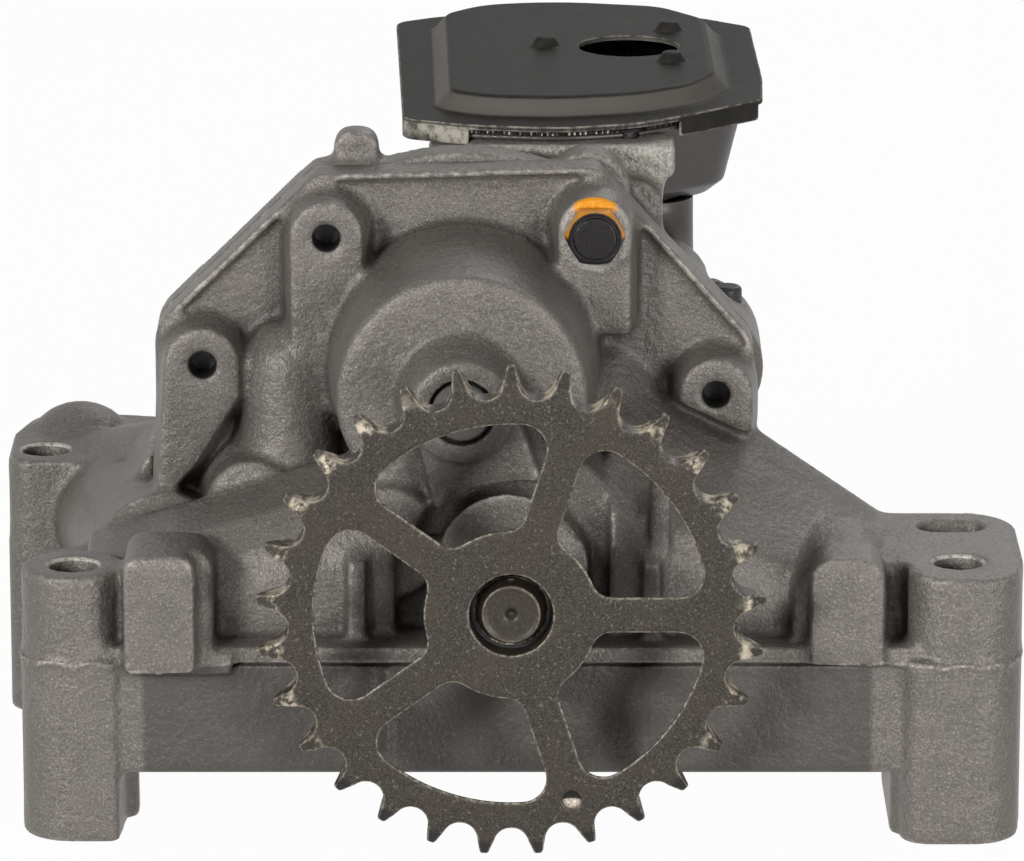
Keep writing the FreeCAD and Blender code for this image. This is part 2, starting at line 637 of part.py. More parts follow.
# Rear casting
def rear_cover():
    plate = plate_xz(plate_outline(plate_bottom, 2.6), seam, cover_back)
    crown = cylinder_y(idler_x, 70.0, 49.7, seam, cover_back)
    crown = crown.common(box(-60.0, 60.0, seam - 1.0, cover_back + 1.0, 100.0, 130.0))
    hump = cylinder_y(bolt_d[0] - 1.2, bolt_d[1] + 3.9, 8.0, seam, cover_back)
    corner_lug = box(25.6, 30.6, cover_back - 1.0, -4.5, 100.0, 110.2)
    lug = soften_front(plate_xz([
        (-32.1, 112.0, 0), (-23.3, 112.0, 0), (-23.5, 123.5, 3.4), (-31.9, 123.5, 3.4)],
        seam + 1.5, cover_back), seam + 1.5, 0.8)
    bearing_boss = cone_y(shaft_x, shaft_z, 14.0, 12.0, cover_back - 1.0, bearing_boss_back)
    pin_boss = cone_y(idler_x, idler_z, 11.0, 9.5, cover_back - 1.0, cover_back + 4.0)
    valve_boss = cone_y(valve_x, valve_z, 12.0, 11.0, cover_back - 1.0, valve_boss_back)
    bulge = cylinder_y(bulge_x, bulge_z, bulge_radius, seam + 2.0, bulge_back)
    back_rim = [edge for edge in bulge.Edges if edge.BoundBox.YMin > bulge_back - 0.1]
    bulge = bulge.makeFillet(4.0, back_rim)
    screw_seat = cylinder_z(gallery_screw_x, 0.0, 4.0, bulge_z, gallery_screw_seat)
    duct_root = rod(point(suction_x, cover_back - 2.0, suction_z), point(13.0, cover_back - 2.0, 71.0), 10.5)
    neck = cylinder_y(suction_x, suction_z, 11.0, cover_back - 1.0, neck_back)
    wall = plate_xz([
        (-14.2, shelf_top, 1.5), (33.2, shelf_top, 1.5), (30.8, 109.0, 2.0), (29.4, 88.0, 4.0),
        (8.0, 84.0, 4.0), (-14.2, shelf_top - 10.2, 3.0)], -5.0, 1.0)
    shelf = box(-14.2, 33.0, -5.0, 5.2, shelf_top - shelf_thickness, shelf_top)
    bridge = plate_xz([
        (-12.0, 95.0, 3.0), (30.0, 86.0, 3.0), (30.0, shelf_top - 6.2, 4.0), (-12.0, shelf_top - 3.2, 4.0)],
        cover_back - 1.0, -3.0)
    solids = [plate, crown, hump, corner_lug, lug, bearing_boss, pin_boss, valve_boss, bulge, screw_seat,
              duct_root, neck, wall, shelf, bridge]
    cover = solids[0].multiFuse(solids[1:])
    cuts = [
        box(-70.0, 60.0, seam - 20.0, seam, 0.0, 140.0),
        cylinder_y(shaft_x, shaft_z, shaft_radius + running_clearance + bush_wall + seat_clearance,
                   seam - 1.0, bearing_boss_back - 3.0),
        cylinder_y(idler_x, idler_z, pin_radius + seat_clearance, seam - 1.0, cover_back + 1.0),
        cylinder_y(valve_x, valve_z, valve_bore_radius, seam - 1.0, valve_boss_back - plug_length + 1.0),
        cylinder_y(valve_x, valve_z, plug_radius + seat_clearance, valve_boss_back - plug_length,
                   valve_boss_back + 1.0),
        cylinder_y(suction_x, suction_z, elbow_radius + 0.1, cover_back + 2.0, neck_back + 1.0),
        cylinder_y(suction_x, suction_z, elbow_radius + 2.5, neck_back, bulge_back + 1.0),
        rod(point(suction_x, cover_back + 3.0, suction_z), point(11.0, seam - 2.0, 69.0), 5.5),
        cylinder_z(gallery_screw_x, 0.0, gallery_screw_radius, gallery_screw_seat - 6.0,
                   gallery_screw_seat + 1.0),
        cylinder_z(gallery_screw_x, 0.0, 4.0, gallery_screw_seat, gallery_screw_seat + 6.0),
        box(-6.5, 5.9, -6.0, -3.8, shelf_top - 6.2, shelf_top - 2.6),
        box(-16.0, tab_inner_left + 0.4, -6.0, 6.0, rim_height - skirt_height - 0.2, rim_height),
    ]
    for x, z in (bolt_a, bolt_b, bolt_c):
        cuts.append(cylinder_y(x, z, bolt_radius + bolt_hole_clearance, seam - 1.0, bulge_back + 1.0))
    cuts.append(cylinder_y(bolt_d[0], bolt_d[1], bolt_radius + seat_clearance, seam - 1.0, cover_back - 1.0))
    for x, z in dowel_places:
        cuts.append(cylinder_y(x, z, dowel_radius + seat_clearance, seam - 1.0, seam + dowel_length / 2 + 0.2))
    for x in strainer_screw_places:
        cuts.append(cylinder_z(x, strainer_screw_y, strainer_screw_radius + seat_clearance,
                               shelf_top - strainer_screw_depth - 0.5, rim_height))
    return cover.cut(Part.makeCompound(cuts)).removeSplitter()


# Sprocket with roller seats, bevelled tips and five windows
def polar(radius, degrees):
    angle = math.radians(degrees)
    return (shaft_x + radius * math.cos(angle), shaft_z + radius * math.sin(angle))


def sprocket_blank():
    """The toothed disc: each gap is a roller seat with two straight flanks opening to the tips."""
    seat_radius = chain_roller_radius + 0.05
    step = 360.0 / sprocket_teeth
    half_tip = 0.075 * step
    edges = []
    first = None
    last = None
    for tooth in range(sprocket_teeth):
        gap = 90.0 + step * (tooth + 0.5)
        seat_x, seat_z = polar(sprocket_pitch_radius, gap)
        seat = point(seat_x, sprocket_front, seat_z)
        seat_points = []
        for side in (-118.0, 0.0, 118.0):
            turn = math.radians(gap + 180.0 - side * 0.62)
            seat_points.append(seat + point(math.cos(turn), 0, math.sin(turn)) * seat_radius)
        tip_x, tip_z = polar(sprocket_tip_radius, gap - step / 2 + half_tip)
        far_x, far_z = polar(sprocket_tip_radius, gap + step / 2 - half_tip)
        tip = point(tip_x, sprocket_front, tip_z)
        far_tip = point(far_x, sprocket_front, far_z)
        seat_points.sort(key=lambda p: p.distanceToPoint(tip))
        near, middle, far = seat_points
        if last is not None:
            edges.append(Part.LineSegment(last, tip).toShape())
        else:
            first = tip
        edges.append(Part.LineSegment(tip, near).toShape())
        edges.append(Part.Arc(near, middle, far).toShape())
        edges.append(Part.LineSegment(far, far_tip).toShape())
        last = far_tip
    edges.append(Part.LineSegment(last, first).toShape())
    return Part.Face(Part.Wire(edges)).extrude(point(0, sprocket_thickness, 0))


def edges_along_y(shape, radius):
    """The edges parallel to Y at one distance from the shaft."""
    chosen = []
    for edge in shape.Edges:
        start = edge.Vertexes[0].Point
        end = edge.Vertexes[-1].Point
        along = abs(start.x - end.x) < 1e-6 and abs(start.z - end.z) < 1e-6
        if along and abs(math.hypot(start.x - shaft_x, start.z - shaft_z) - radius) < 0.1:
            chosen.append(edge)
    return chosen


def window_cut(angle):
    """A window between two spokes, bounded by two arcs about the shaft and two straight spoke sides."""
    half = 180.0 / window_count
    inner = window_inner_radius
    outer = window_outer_radius
    inner_lean = math.degrees(math.asin(spoke_half_width / inner))
    outer_lean = math.degrees(math.asin(spoke_half_width / outer))
    ring_points = []
    for radius, degrees in (
        (inner, angle - half + inner_lean), (inner, angle), (inner, angle + half - inner_lean),
        (outer, angle + half - outer_lean), (outer, angle), (outer, angle - half + outer_lean),
    ):
        x, z = polar(radius, degrees)
        ring_points.append(point(x, sprocket_front - 1.0, z))
    edges = [
        Part.Arc(ring_points[0], ring_points[1], ring_points[2]).toShape(),
        Part.LineSegment(ring_points[2], ring_points[3]).toShape(),
        Part.Arc(ring_points[3], ring_points[4], ring_points[5]).toShape(),
        Part.LineSegment(ring_points[5], ring_points[0]).toShape(),
    ]
    cut = Part.Face(Part.Wire(edges)).extrude(point(0, sprocket_thickness + 2.0, 0))
    cut = cut.makeFillet(window_inner_corner, edges_along_y(cut, inner))
    return cut.makeFillet(window_outer_corner, edges_along_y(cut, outer))


def sprocket():
    middle = sprocket_front + sprocket_thickness / 2.0
    blank = sprocket_blank()
    rim = sprocket_tip_radius + 0.2
    bevel_start = rim - 2.4
    profile = Part.makePolygon([
        point(shaft_x, sprocket_front, shaft_z),
        point(shaft_x + bevel_start, sprocket_front, shaft_z),
        point(shaft_x + rim, sprocket_front + tooth_bevel, shaft_z),
        point(shaft_x + rim, sprocket_back - tooth_bevel, shaft_z),
        point(shaft_x + bevel_start, sprocket_back, shaft_z),
        point(shaft_x, sprocket_back, shaft_z),
        point(shaft_x, sprocket_front, shaft_z)])
    disc = Part.Face(profile).revolve(point(shaft_x, middle, shaft_z), point(0, 1, 0), 360)
    wheel = blank.common(disc)
    cuts = [window_cut(36.0 + index * 360.0 / window_count) for index in range(window_count)]
    bore = shaft_radius + seat_clearance
    cuts.append(cylinder_y(shaft_x, shaft_z, bore, sprocket_front - 1.0, sprocket_back + 1.0))
    cuts.append(cone_y(shaft_x, shaft_z, bore + 0.9, bore, sprocket_front, sprocket_front + 0.9))
    dimple_x, dimple_z = polar(dimple_ring, dimple_angle)
    cuts.append(cylinder_y(dimple_x, dimple_z, dimple_radius, sprocket_front - 1.0, sprocket_front + 0.8))
    return wheel.cut(Part.makeCompound(cuts)).removeSplitter()


def drive_shaft():
    front = sprocket_front + 0.5
    back = bearing_boss_back - 4.0
    shaft = cylinder_y(shaft_x, shaft_z, shaft_radius, front, back)
    ends = [edge for edge in shaft.Edges if abs(edge.BoundBox.YLength) < 1e-6]
    shaft = shaft.makeChamfer(shaft_end_chamfer, ends)
    centre_drill = cone_y(shaft_x, shaft_z, 1.6, 0.2, front, front + 1.6)
    return shaft.cut(centre_drill)


def driven_gear_pin():
    front = idler_boss_front + 0.2
    pin = cylinder_y(idler_x, idler_z, pin_radius, front, cover_back)
    ends = [edge for edge in pin.Edges if abs(edge.BoundBox.YLength) < 1e-6]
    return pin.makeChamfer(0.4, ends)


def bush(x, z, inner_radius, y_from, y_to):
    inner = inner_radius + running_clearance
    return cylinder_y(x, z, inner + bush_wall, y_from, y_to).cut(
        cylinder_y(x, z, inner, y_from - 1.0, y_to + 1.0))


# Involute pump gear
def involute(base_radius, radius):
    """Polar angle of the involute where it reaches a radius."""
    ratio = math.sqrt((radius / base_radius) ** 2 - 1.0)
    return ratio - math.atan(ratio)


def gear_blank(x, z, tooth_angle):
    base_radius = pitch_radius * math.cos(math.radians(gear_pressure_angle))
    half_tooth = math.pi / 2.0 / gear_teeth - gear_backlash / 2.0 / pitch_radius
    at_pitch = involute(base_radius, pitch_radius)
    steps = 5
    radii = []
    for index in range(steps):
        radii.append(base_radius + (gear_tip_radius - base_radius) * index / (steps - 1))
    edges = []
    last = None
    first = None

    def place(radius, angle):
        return point(x + radius * math.cos(angle), gear_front, z + radius * math.sin(angle))

    for tooth in range(gear_teeth):
        centre = tooth_angle + 2.0 * math.pi * tooth / gear_teeth
        rising = []
        falling = []
        for radius in radii:
            half = half_tooth + at_pitch - involute(base_radius, radius)
            rising.append(place(radius, centre - half))
            falling.append(place(radius, centre + half))
        falling.reverse()
        foot_half = half_tooth + at_pitch
        rise_foot = place(gear_root_radius, centre - foot_half)
        fall_foot = place(gear_root_radius, centre + foot_half)
        if last is None:
            first = rise_foot
        else:
            valley = place(gear_root_radius, centre - math.pi / gear_teeth)
            edges.append(Part.Arc(last, valley, rise_foot).toShape())
        edges.append(Part.LineSegment(rise_foot, rising[0]).toShape())
        flank = Part.BSplineCurve()
        flank.interpolate(rising)
        edges.append(flank.toShape())
        edges.append(Part.Arc(rising[-1], place(gear_tip_radius, centre), falling[0]).toShape())
        flank = Part.BSplineCurve()
        flank.interpolate(falling)
        edges.append(flank.toShape())
        edges.append(Part.LineSegment(falling[-1], fall_foot).toShape())
        last = fall_foot
    valley = place(gear_root_radius, tooth_angle - math.pi / gear_teeth)
    edges.append(Part.Arc(last, valley, first).toShape())
    return Part.Face(Part.Wire(edges)).extrude(point(0, gear_width, 0))


def gear(x, z, bore_radius):
    toward = math.atan2(idler_z - shaft_z, idler_x - shaft_x)
    blank = gear_blank(x, z, toward)
    return blank.cut(cylinder_y(x, z, bore_radius, gear_front - 1.0, seam + 1.0))


# Relief valve
def valve_piston():
    radius = valve_bore_radius - running_clearance
    outside = boss_y(valve_x, valve_z, radius, piston_rest, piston_rest + piston_length, 0.6)
    inside = cylinder_y(valve_x, valve_z, radius - piston_wall, piston_rest + 3.0,
                        piston_rest + piston_length + 1.0)
    return outside.cut(inside)


def valve_spring():
    start = piston_rest + 3.0 + spring_wire / 2.0 + 0.1
    end = valve_boss_back - plug_length - spring_wire / 2.0 - 0.1
    pitch = (end - start) / spring_turns
    helix = Part.makeHelix(pitch, end - start, spring_mean_radius)
    profile = Part.Wire(Part.makeCircle(spring_wire / 2.0, point(spring_mean_radius, 0, 0), point(0, 1, 0)))
    coil = Part.Wire(helix).makePipeShell([profile], True, True)
    coil.rotate(point(0, 0, 0), point(1, 0, 0), -90)
    coil.translate(point(valve_x, start, valve_z))
    return coil


def hexagon_y(x, z, flats, y_from, y_to):
    corner = flats / math.sqrt(3.0)
    outline = []
    for side in range(6):
        angle = math.radians(60.0 * side)
        outline.append((x + corner * math.cos(angle), z + corner * math.sin(angle), 0))
    return plate_xz(outline, y_from, y_to)


def valve_plug():
    head_front = valve_boss_back + plug_washer_thickness
    thread = cylinder_y(valve_x, valve_z, plug_radius, valve_boss_back - plug_length, head_front + 0.5)
    head = hexagon_y(valve_x, valve_z, plug_flats, head_front, head_front + plug_head_height)
    corner = plug_flats / math.sqrt(3.0)
    rounding = cone_y(valve_x, valve_z, corner + 3.0, plug_flats / 2.0 - 0.3, head_front - 0.1,
                      head_front + plug_head_height)
    return thread.fuse(head.common(rounding)).removeSplitter()


def valve_washer():
    return cylinder_y(valve_x, valve_z, plug_radius + 3.0, valve_boss_back,
                      valve_boss_back + plug_washer_thickness).cut(
        cylinder_y(valve_x, valve_z, plug_radius + seat_clearance, valve_boss_back - 1.0,
                   valve_boss_back + plug_washer_thickness + 1.0))


# Bolts along Y: direction 1 has its head at the back, -1 at the front
def bolt(x, z, seat_y, direction, shank_length, flanged):
    head_end = seat_y + direction * bolt_head_height
    low, high = sorted((seat_y, head_end))
    head = hexagon_y(x, z, bolt_head_flats, low, high)
    cap = cylinder_y(x, z, bolt_head_flats / 2.0 - 0.7, low, high)
    corner = bolt_head_flats / math.sqrt(3.0)
    if direction > 0:
        rounding = cone_y(x, z, corner + 1.6, bolt_head_flats / 2.0 - 0.3, low, high)
    else:
        rounding = cone_y(x, z, bolt_head_flats / 2.0 - 0.3, corner + 1.6, low, high)
    shank_end = seat_y - direction * shank_length
    shank_low, shank_high = sorted((shank_end, seat_y + direction * 1.0))
    solids = [head.common(rounding), cap, cylinder_y(x, z, bolt_radius, shank_low, shank_high)]
    if flanged:
        flange_low, flange_high = sorted((seat_y, seat_y + direction * bolt_flange_height))
        solids.append(cylinder_y(x, z, bolt_flange_radius, flange_low, flange_high))
    return fused(solids)


def cover_bolts():
    """Three bolts from the rear, the longest through the bulge."""
    bolts = []
    for (x, z), seat in ((bolt_a, cover_back), (bolt_b, cover_back), (bolt_c, bulge_back)):
        bolts.append(bolt(x, z, seat, 1, seat - seam + rear_bolt_reach, True))
    return Part.makeCompound(bolts)


def front_bolt():
    length = seam - bolt_boss_front + 6.5
    return bolt(bolt_d[0], bolt_d[1], bolt_boss_front, -1, length, False)


def cover_dowels():
    pins = []
    for x, z in dowel_places:
        pins.append(cylinder_y(x, z, dowel_radius, seam - dowel_length / 2, seam + dowel_length / 2))
    return Part.makeCompound(pins)


# Strainer: cover, wire cloth, bowl and elbow
def strainer_outline():
    return [
        (rim_left + 2.0, rim_front + 8.0, 4.0),
        (-6.7, rim_front + 2.4, 25.0),
        (10.8, rim_front - 0.4, 25.0),
        (26.5, rim_front + 3.8, 25.0),
        (36.5, rim_front + 11.8, 20.0),
        (rim_right - 0.6, rim_front + 24.8, 3.0),
        (rim_right, rim_front + 44.0, 20.0),
        (rim_right - 0.9, rim_back - 12.5, 4.0),
        (40.0, rim_back - 3.6, 10.0),
        (18.0, rim_back, 40.0),
        (4.0, rim_back, 40.0),
        (-13.0, rim_back - 2.6, 14.0),
        (rim_left - 0.6, rim_back - 8.5, 4.5),
    ]


def dome_outline():
    return [
        (rim_left + 8.0, rim_front + 15.0, 8.0),
        (-4.5, rim_front + 8.6, 22.0),
        (11.0, rim_front + 7.4, 30.0),
        (27.0, rim_front + 11.0, 30.0),
        (38.5, rim_front + 19.5, 16.0),
        (rim_right - 6.6, rim_front + 32.0, 10.0),
        (rim_right - 7.4, rim_back - 20.0, 12.0),
        (34.0, rim_back - 6.4, 14.0),
        (11.0, rim_back - 1.0, 40.0),
        (-6.0, rim_back - 4.6, 18.0),
        (rim_left + 6.4, rim_back - 15.0, 9.0),
    ]


def inset_face(outline, inset, z):
    """A face inside an outline, set in evenly by the inset."""
    face = Part.Face(wire_xy(outline, z))
    if inset > 0:
        face = face.makeOffset2D(-inset)
    return face


def inset_plate(outline, inset, z_from, z_to):
    return inset_face(outline, inset, z_from).extrude(point(0, 0, z_to - z_from))


def strainer_cover():
    dome_top = rim_height + dome_height
    rim = inset_plate(strainer_outline(), 0.0, rim_height - sheet, rim_height)
    dome = loft([
        inset_face(dome_outline(), 0.0, rim_height - 0.1).OuterWire,
        inset_face(dome_outline(), dome_slope, dome_top).OuterWire])
    hollow = loft([
        inset_face(dome_outline(), sheet, rim_height - sheet - 0.1).OuterWire,
        inset_face(dome_outline(), dome_slope + sheet, dome_top - sheet).OuterWire])
    solids = [rim, dome]
    for degrees in (180.0, 60.0, -60.0):
        angle = math.radians(degrees)
        x = inlet_x + bump_ring * math.cos(angle)
        y = inlet_y + bump_ring * math.sin(angle)
        solids.append(Part.makeCone(2.9, 1.5, bump_height, point(x, y, dome_top)))
    for tab_from, tab_to in ((rim_left + 1.6, tab_inner_left), (tab_inner_right, rim_right - 1.4)):
        skirt = inset_plate(strainer_outline(), 0.0, rim_height - skirt_height, rim_height - sheet)
        skirt = skirt.cut(inset_plate(strainer_outline(), sheet, rim_height - skirt_height - 1.0, rim_height))
        solids.append(skirt.common(box(tab_from, tab_to, rim_front - 5.0, rim_front + 30.0, 100.0, 130.0)))
    cover = solids[0].multiFuse(solids[1:])
    hole = cylinder_z(inlet_x, inlet_y, inlet_radius, rim_height - 5.0, dome_top + 5.0)
    return cover.cut(hollow).cut(hole).removeSplitter()


def strainer_mesh():
    mesh = inset_plate(strainer_outline(), sheet + 0.3, mesh_top - mesh_thickness, mesh_top)
    holes = [cylinder_z(x, strainer_screw_y, strainer_head_radius + 0.3, bowl_top, mesh_top + 1.0)
             for x in strainer_screw_places]
    return mesh.cut(Part.makeCompound(holes))


def bowl_ring(grow, z):
    """The bowl's outline at a height, larger by the growth."""
    left = bowl_left - grow
    right = bowl_right + grow
    front = bowl_front - grow
    back = bowl_back + grow
    return wire_xy([
        (left, front, 9.0), (right - 16.0, front, 14.0), (right, front + 14.0, 9.0),
        (right, back, 10.0), (left, back, 9.0)], z)


def strainer_bowl():
    top = bowl_top
    bottom = rim_height - bowl_depth
    flange = inset_plate(strainer_outline(), sheet + 0.3, top - sheet, top)
    outside = loft([bowl_ring(-2.6, bottom), bowl_ring(0.4, bottom + 3.0), bowl_ring(3.5, top - sheet)])
    inside = loft([bowl_ring(-2.6 - sheet, bottom + sheet), bowl_ring(0.4 - sheet, bottom + 3.0 + sheet / 2),
                   bowl_ring(3.5 - sheet, top - sheet + 0.01)])
    mouth = Part.Face(bowl_ring(3.5 - sheet, top - sheet - 0.1)).extrude(point(0, 0, 2.0))
    bowl = flange.fuse(outside).cut(inside).cut(mouth)
    cuts = [cylinder_z(suction_x, elbow_drop_y, elbow_radius - elbow_wall, bottom - 1.0, bottom + 3.0)]
    for x in strainer_screw_places:
        cuts.append(cylinder_z(x, strainer_screw_y, strainer_screw_radius + 0.3, top - sheet - 1.0, top + 1.0))
    return bowl.cut(Part.makeCompound(cuts)).removeSplitter()


def suction_elbow():
    bend = elbow_bend
    start = point(suction_x, cover_back + 3.0, suction_z)
    corner = point(suction_x, elbow_bend_start, suction_z)
    turn_middle = point(suction_x, elbow_bend_start + bend * math.sin(math.radians(45)),
                        suction_z + bend - bend * math.cos(math.radians(45)))
    turn_end = point(suction_x, elbow_drop_y, suction_z + bend)
    path = Part.Wire([
        Part.LineSegment(start, corner).toShape(),
        Part.Arc(corner, turn_middle, turn_end).toShape()])
    outer = Part.Wire(Part.makeCircle(elbow_radius, start, point(0, 1, 0)))
    inner = Part.Wire(Part.makeCircle(elbow_radius - elbow_wall, start, point(0, 1, 0)))
    pipe = path.makePipeShell([outer], True, False)
    bore = path.makePipeShell([inner], True, False)
    return pipe.cut(bore)


def suction_seal():
    ring = Part.makeTorus(elbow_radius + 1.0, 1.0, point(suction_x, neck_back + 1.02, suction_z), point(0, 1, 0))
    return ring.cut(cylinder_y(suction_x, suction_z, elbow_radius + 0.05, 0.0, 6.0))


def strainer_screws():
    screws = []
    for x in strainer_screw_places:
        head = Part.makeCone(strainer_head_radius, 2.8, 0.7, point(x, strainer_screw_y, bowl_top))
        shank = cylinder_z(x, strainer_screw_y, strainer_screw_radius,
                           shelf_top - strainer_screw_depth, bowl_top + 0.1)
        screws.append(head.fuse(shank))
    return Part.makeCompound(screws)


def gallery_screw():
    seat = gallery_screw_seat
    shank = cylinder_z(gallery_screw_x, 0.0, gallery_screw_radius - seat_clearance, seat - 5.2, seat + 0.1)
    head = post_z(gallery_screw_x, 0.0, 2.9, seat, seat + 3.0, 0.9)
    return head.fuse(shank).removeSplitter()


nodes = {
    "pump_body": pump_body(),
    "rear_cover": rear_cover(),
    "sprocket": sprocket(),
    "drive_shaft": drive_shaft(),
    "drive_gear": gear(shaft_x, shaft_z, shaft_radius + seat_clearance),
    "front_bush": bush(shaft_x, shaft_z, shaft_radius, drive_boss_front + 1.5, pocket_front),
    "rear_bush": bush(shaft_x, shaft_z, shaft_radius, seam, bearing_boss_back - 3.0),
    "driven_gear": gear(idler_x, idler_z, pin_radius + running_clearance + bush_wall + seat_clearance),
    "driven_gear_bush": bush(idler_x, idler_z, pin_radius, gear_front, gear_front + gear_width),
    "driven_gear_pin": driven_gear_pin(),
    "relief_valve_piston": valve_piston(),
    "relief_valve_spring": valve_spring(),
    "relief_valve_plug": valve_plug(),
    "relief_valve_washer": valve_washer(),
    "cover_bolts": cover_bolts(),
    "front_bolt": front_bolt(),
    "cover_dowels": cover_dowels(),
    "gallery_screw": gallery_screw(),
    "strainer_cover": strainer_cover(),
    "strainer_mesh": strainer_mesh(),
    "strainer_bowl": strainer_bowl(),
    "strainer_screws": strainer_screws(),
    "suction_elbow": suction_elbow(),
    "suction_seal": suction_seal(),
}

# The origin goes under the middle of the whole pump, between the sprocket's face and the strainer's back
origin_shift = point(0, -(sprocket_front + rim_back) / 2.0, 0)

os.makedirs("parts", exist_ok=True)
for name, shape in nodes.items():
    shape.translate(origin_shift)
    shape.exportStep(os.path.join("parts", name + ".step"))
    bounds = shape.BoundBox
    print(name, "solids", len(shape.Solids), "valid", shape.isValid(), "volume", round(shape.Volume, 1),
          "x", round(bounds.XMin, 2), round(bounds.XMax, 2), "y", round(bounds.YMin, 2), round(bounds.YMax, 2),
          "z", round(bounds.ZMin, 2), round(bounds.ZMax, 2))
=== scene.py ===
import json
import math

import bpy
import numpy as np
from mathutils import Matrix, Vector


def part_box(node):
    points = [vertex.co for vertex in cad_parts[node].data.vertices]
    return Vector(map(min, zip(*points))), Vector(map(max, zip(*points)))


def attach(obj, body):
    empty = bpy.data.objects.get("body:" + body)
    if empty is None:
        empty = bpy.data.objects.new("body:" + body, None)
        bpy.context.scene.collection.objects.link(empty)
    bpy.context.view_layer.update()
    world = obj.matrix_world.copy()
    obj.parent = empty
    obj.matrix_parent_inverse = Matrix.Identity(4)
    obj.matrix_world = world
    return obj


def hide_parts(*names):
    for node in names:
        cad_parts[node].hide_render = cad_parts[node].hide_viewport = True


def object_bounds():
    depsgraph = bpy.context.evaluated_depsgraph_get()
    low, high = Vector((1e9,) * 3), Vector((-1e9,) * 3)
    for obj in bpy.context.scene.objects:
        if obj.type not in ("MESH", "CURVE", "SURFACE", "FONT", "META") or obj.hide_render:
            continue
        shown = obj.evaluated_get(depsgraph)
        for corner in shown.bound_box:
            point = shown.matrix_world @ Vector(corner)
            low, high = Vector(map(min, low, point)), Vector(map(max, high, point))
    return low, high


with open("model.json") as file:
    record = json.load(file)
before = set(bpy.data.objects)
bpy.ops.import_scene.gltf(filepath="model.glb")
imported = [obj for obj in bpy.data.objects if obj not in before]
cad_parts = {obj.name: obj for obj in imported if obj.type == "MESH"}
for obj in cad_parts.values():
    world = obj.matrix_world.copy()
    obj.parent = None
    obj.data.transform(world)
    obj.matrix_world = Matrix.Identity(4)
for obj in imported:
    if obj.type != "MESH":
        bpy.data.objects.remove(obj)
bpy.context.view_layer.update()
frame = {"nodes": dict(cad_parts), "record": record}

import openvdb
from mathutils import Vector

# Lengths in this script are in millimetres, and become metres when a mesh is made.
MM = 0.001

# Sizes of the castings
shaft_x = 1.7
shaft_z = 50.0
centre_distance = 33.0
idler_lean = math.radians(16.05)
idler_x = shaft_x - centre_distance * math.sin(idler_lean)
idler_z = shaft_z + centre_distance * math.cos(idler_lean)
bolt_boss_front = -39.5
parting_height = 34.8
foot_top = 51.5
feet = ((-79.65, -66.6), (84.9, -64.8), (-89.85, 13.4))
bolt_a = (-33.0, 106.9)
bolt_b = (-56.5, 82.3)
bolt_c = (40.4, 76.5)
bolt_d = (17.4, 108.0)
tapped_radius = 2.55
idler_boss_front = -71.5
drive_boss_front = -66.5
drive_shoulder_radius = 14.3
drive_shoulder_bore = 9.0
wall_left = -66.0
wall_right = 68.0
wall_front = -74.5
wall_ribs = ((24.4, 27.2), (-22.4, -20.6))
right_rib_low = (27.4, -68.0, parting_height + 1.0)
right_rib_high = (31.2, -55.0, 67.0)
boss_root = (-53.5, -25.0, 61.0)
boss_root_radius = 7.5
pin_radius = 5.5
pin_groove_depth = 3.0
cast_fillet = 0.9
cast_edge = 0.4
cast_voxel = 0.5
cast_margin = 3.0
hollow_cells = 9

# Sizes of the sprocket and the shaft
sprocket_front = -95.0
sprocket_thickness = 5.3
shaft_front = sprocket_front + 0.5
shaft_radius = 6.4
shaft_face_radius = 5.35
shaft_chamfer = 3.2
countersink_radius = 7.65
countersink_depth = 4.0
window_inner = 16.0
window_outer = 35.9
window_draft = math.radians(19.0)
window_straight = 0.45
tooth_root = 40.6
tooth_tip = 46.6
tooth_bevel = 3.1
bevel_slope = 0.62
mark_reach = 37.0
mark_angle = math.radians(287.5)
mark_x = shaft_x + mark_reach * math.cos(mark_angle)
mark_z = shaft_z + mark_reach * math.sin(mark_angle)
sprocket_voxel = 0.2

# Sizes of the strainer lid
rim_top = 121.5
sheet = 1.2
dome_height = 3.6
dome_slope = 4.6
dome_spread = 0.5
inlet_x = 25.0
inlet_y = 47.4
inlet_radius = 9.9
bump_circle = 16.5
bump_angles = (180.0, 60.0, -60.0)
bump_height = 1.95
bump_radius = 3.2
bump_slope = 1.8
tab_height = 4.2
tab_spans = ((-19.6, -6.4), (34.0, 49.8))
tab_back = 30.0


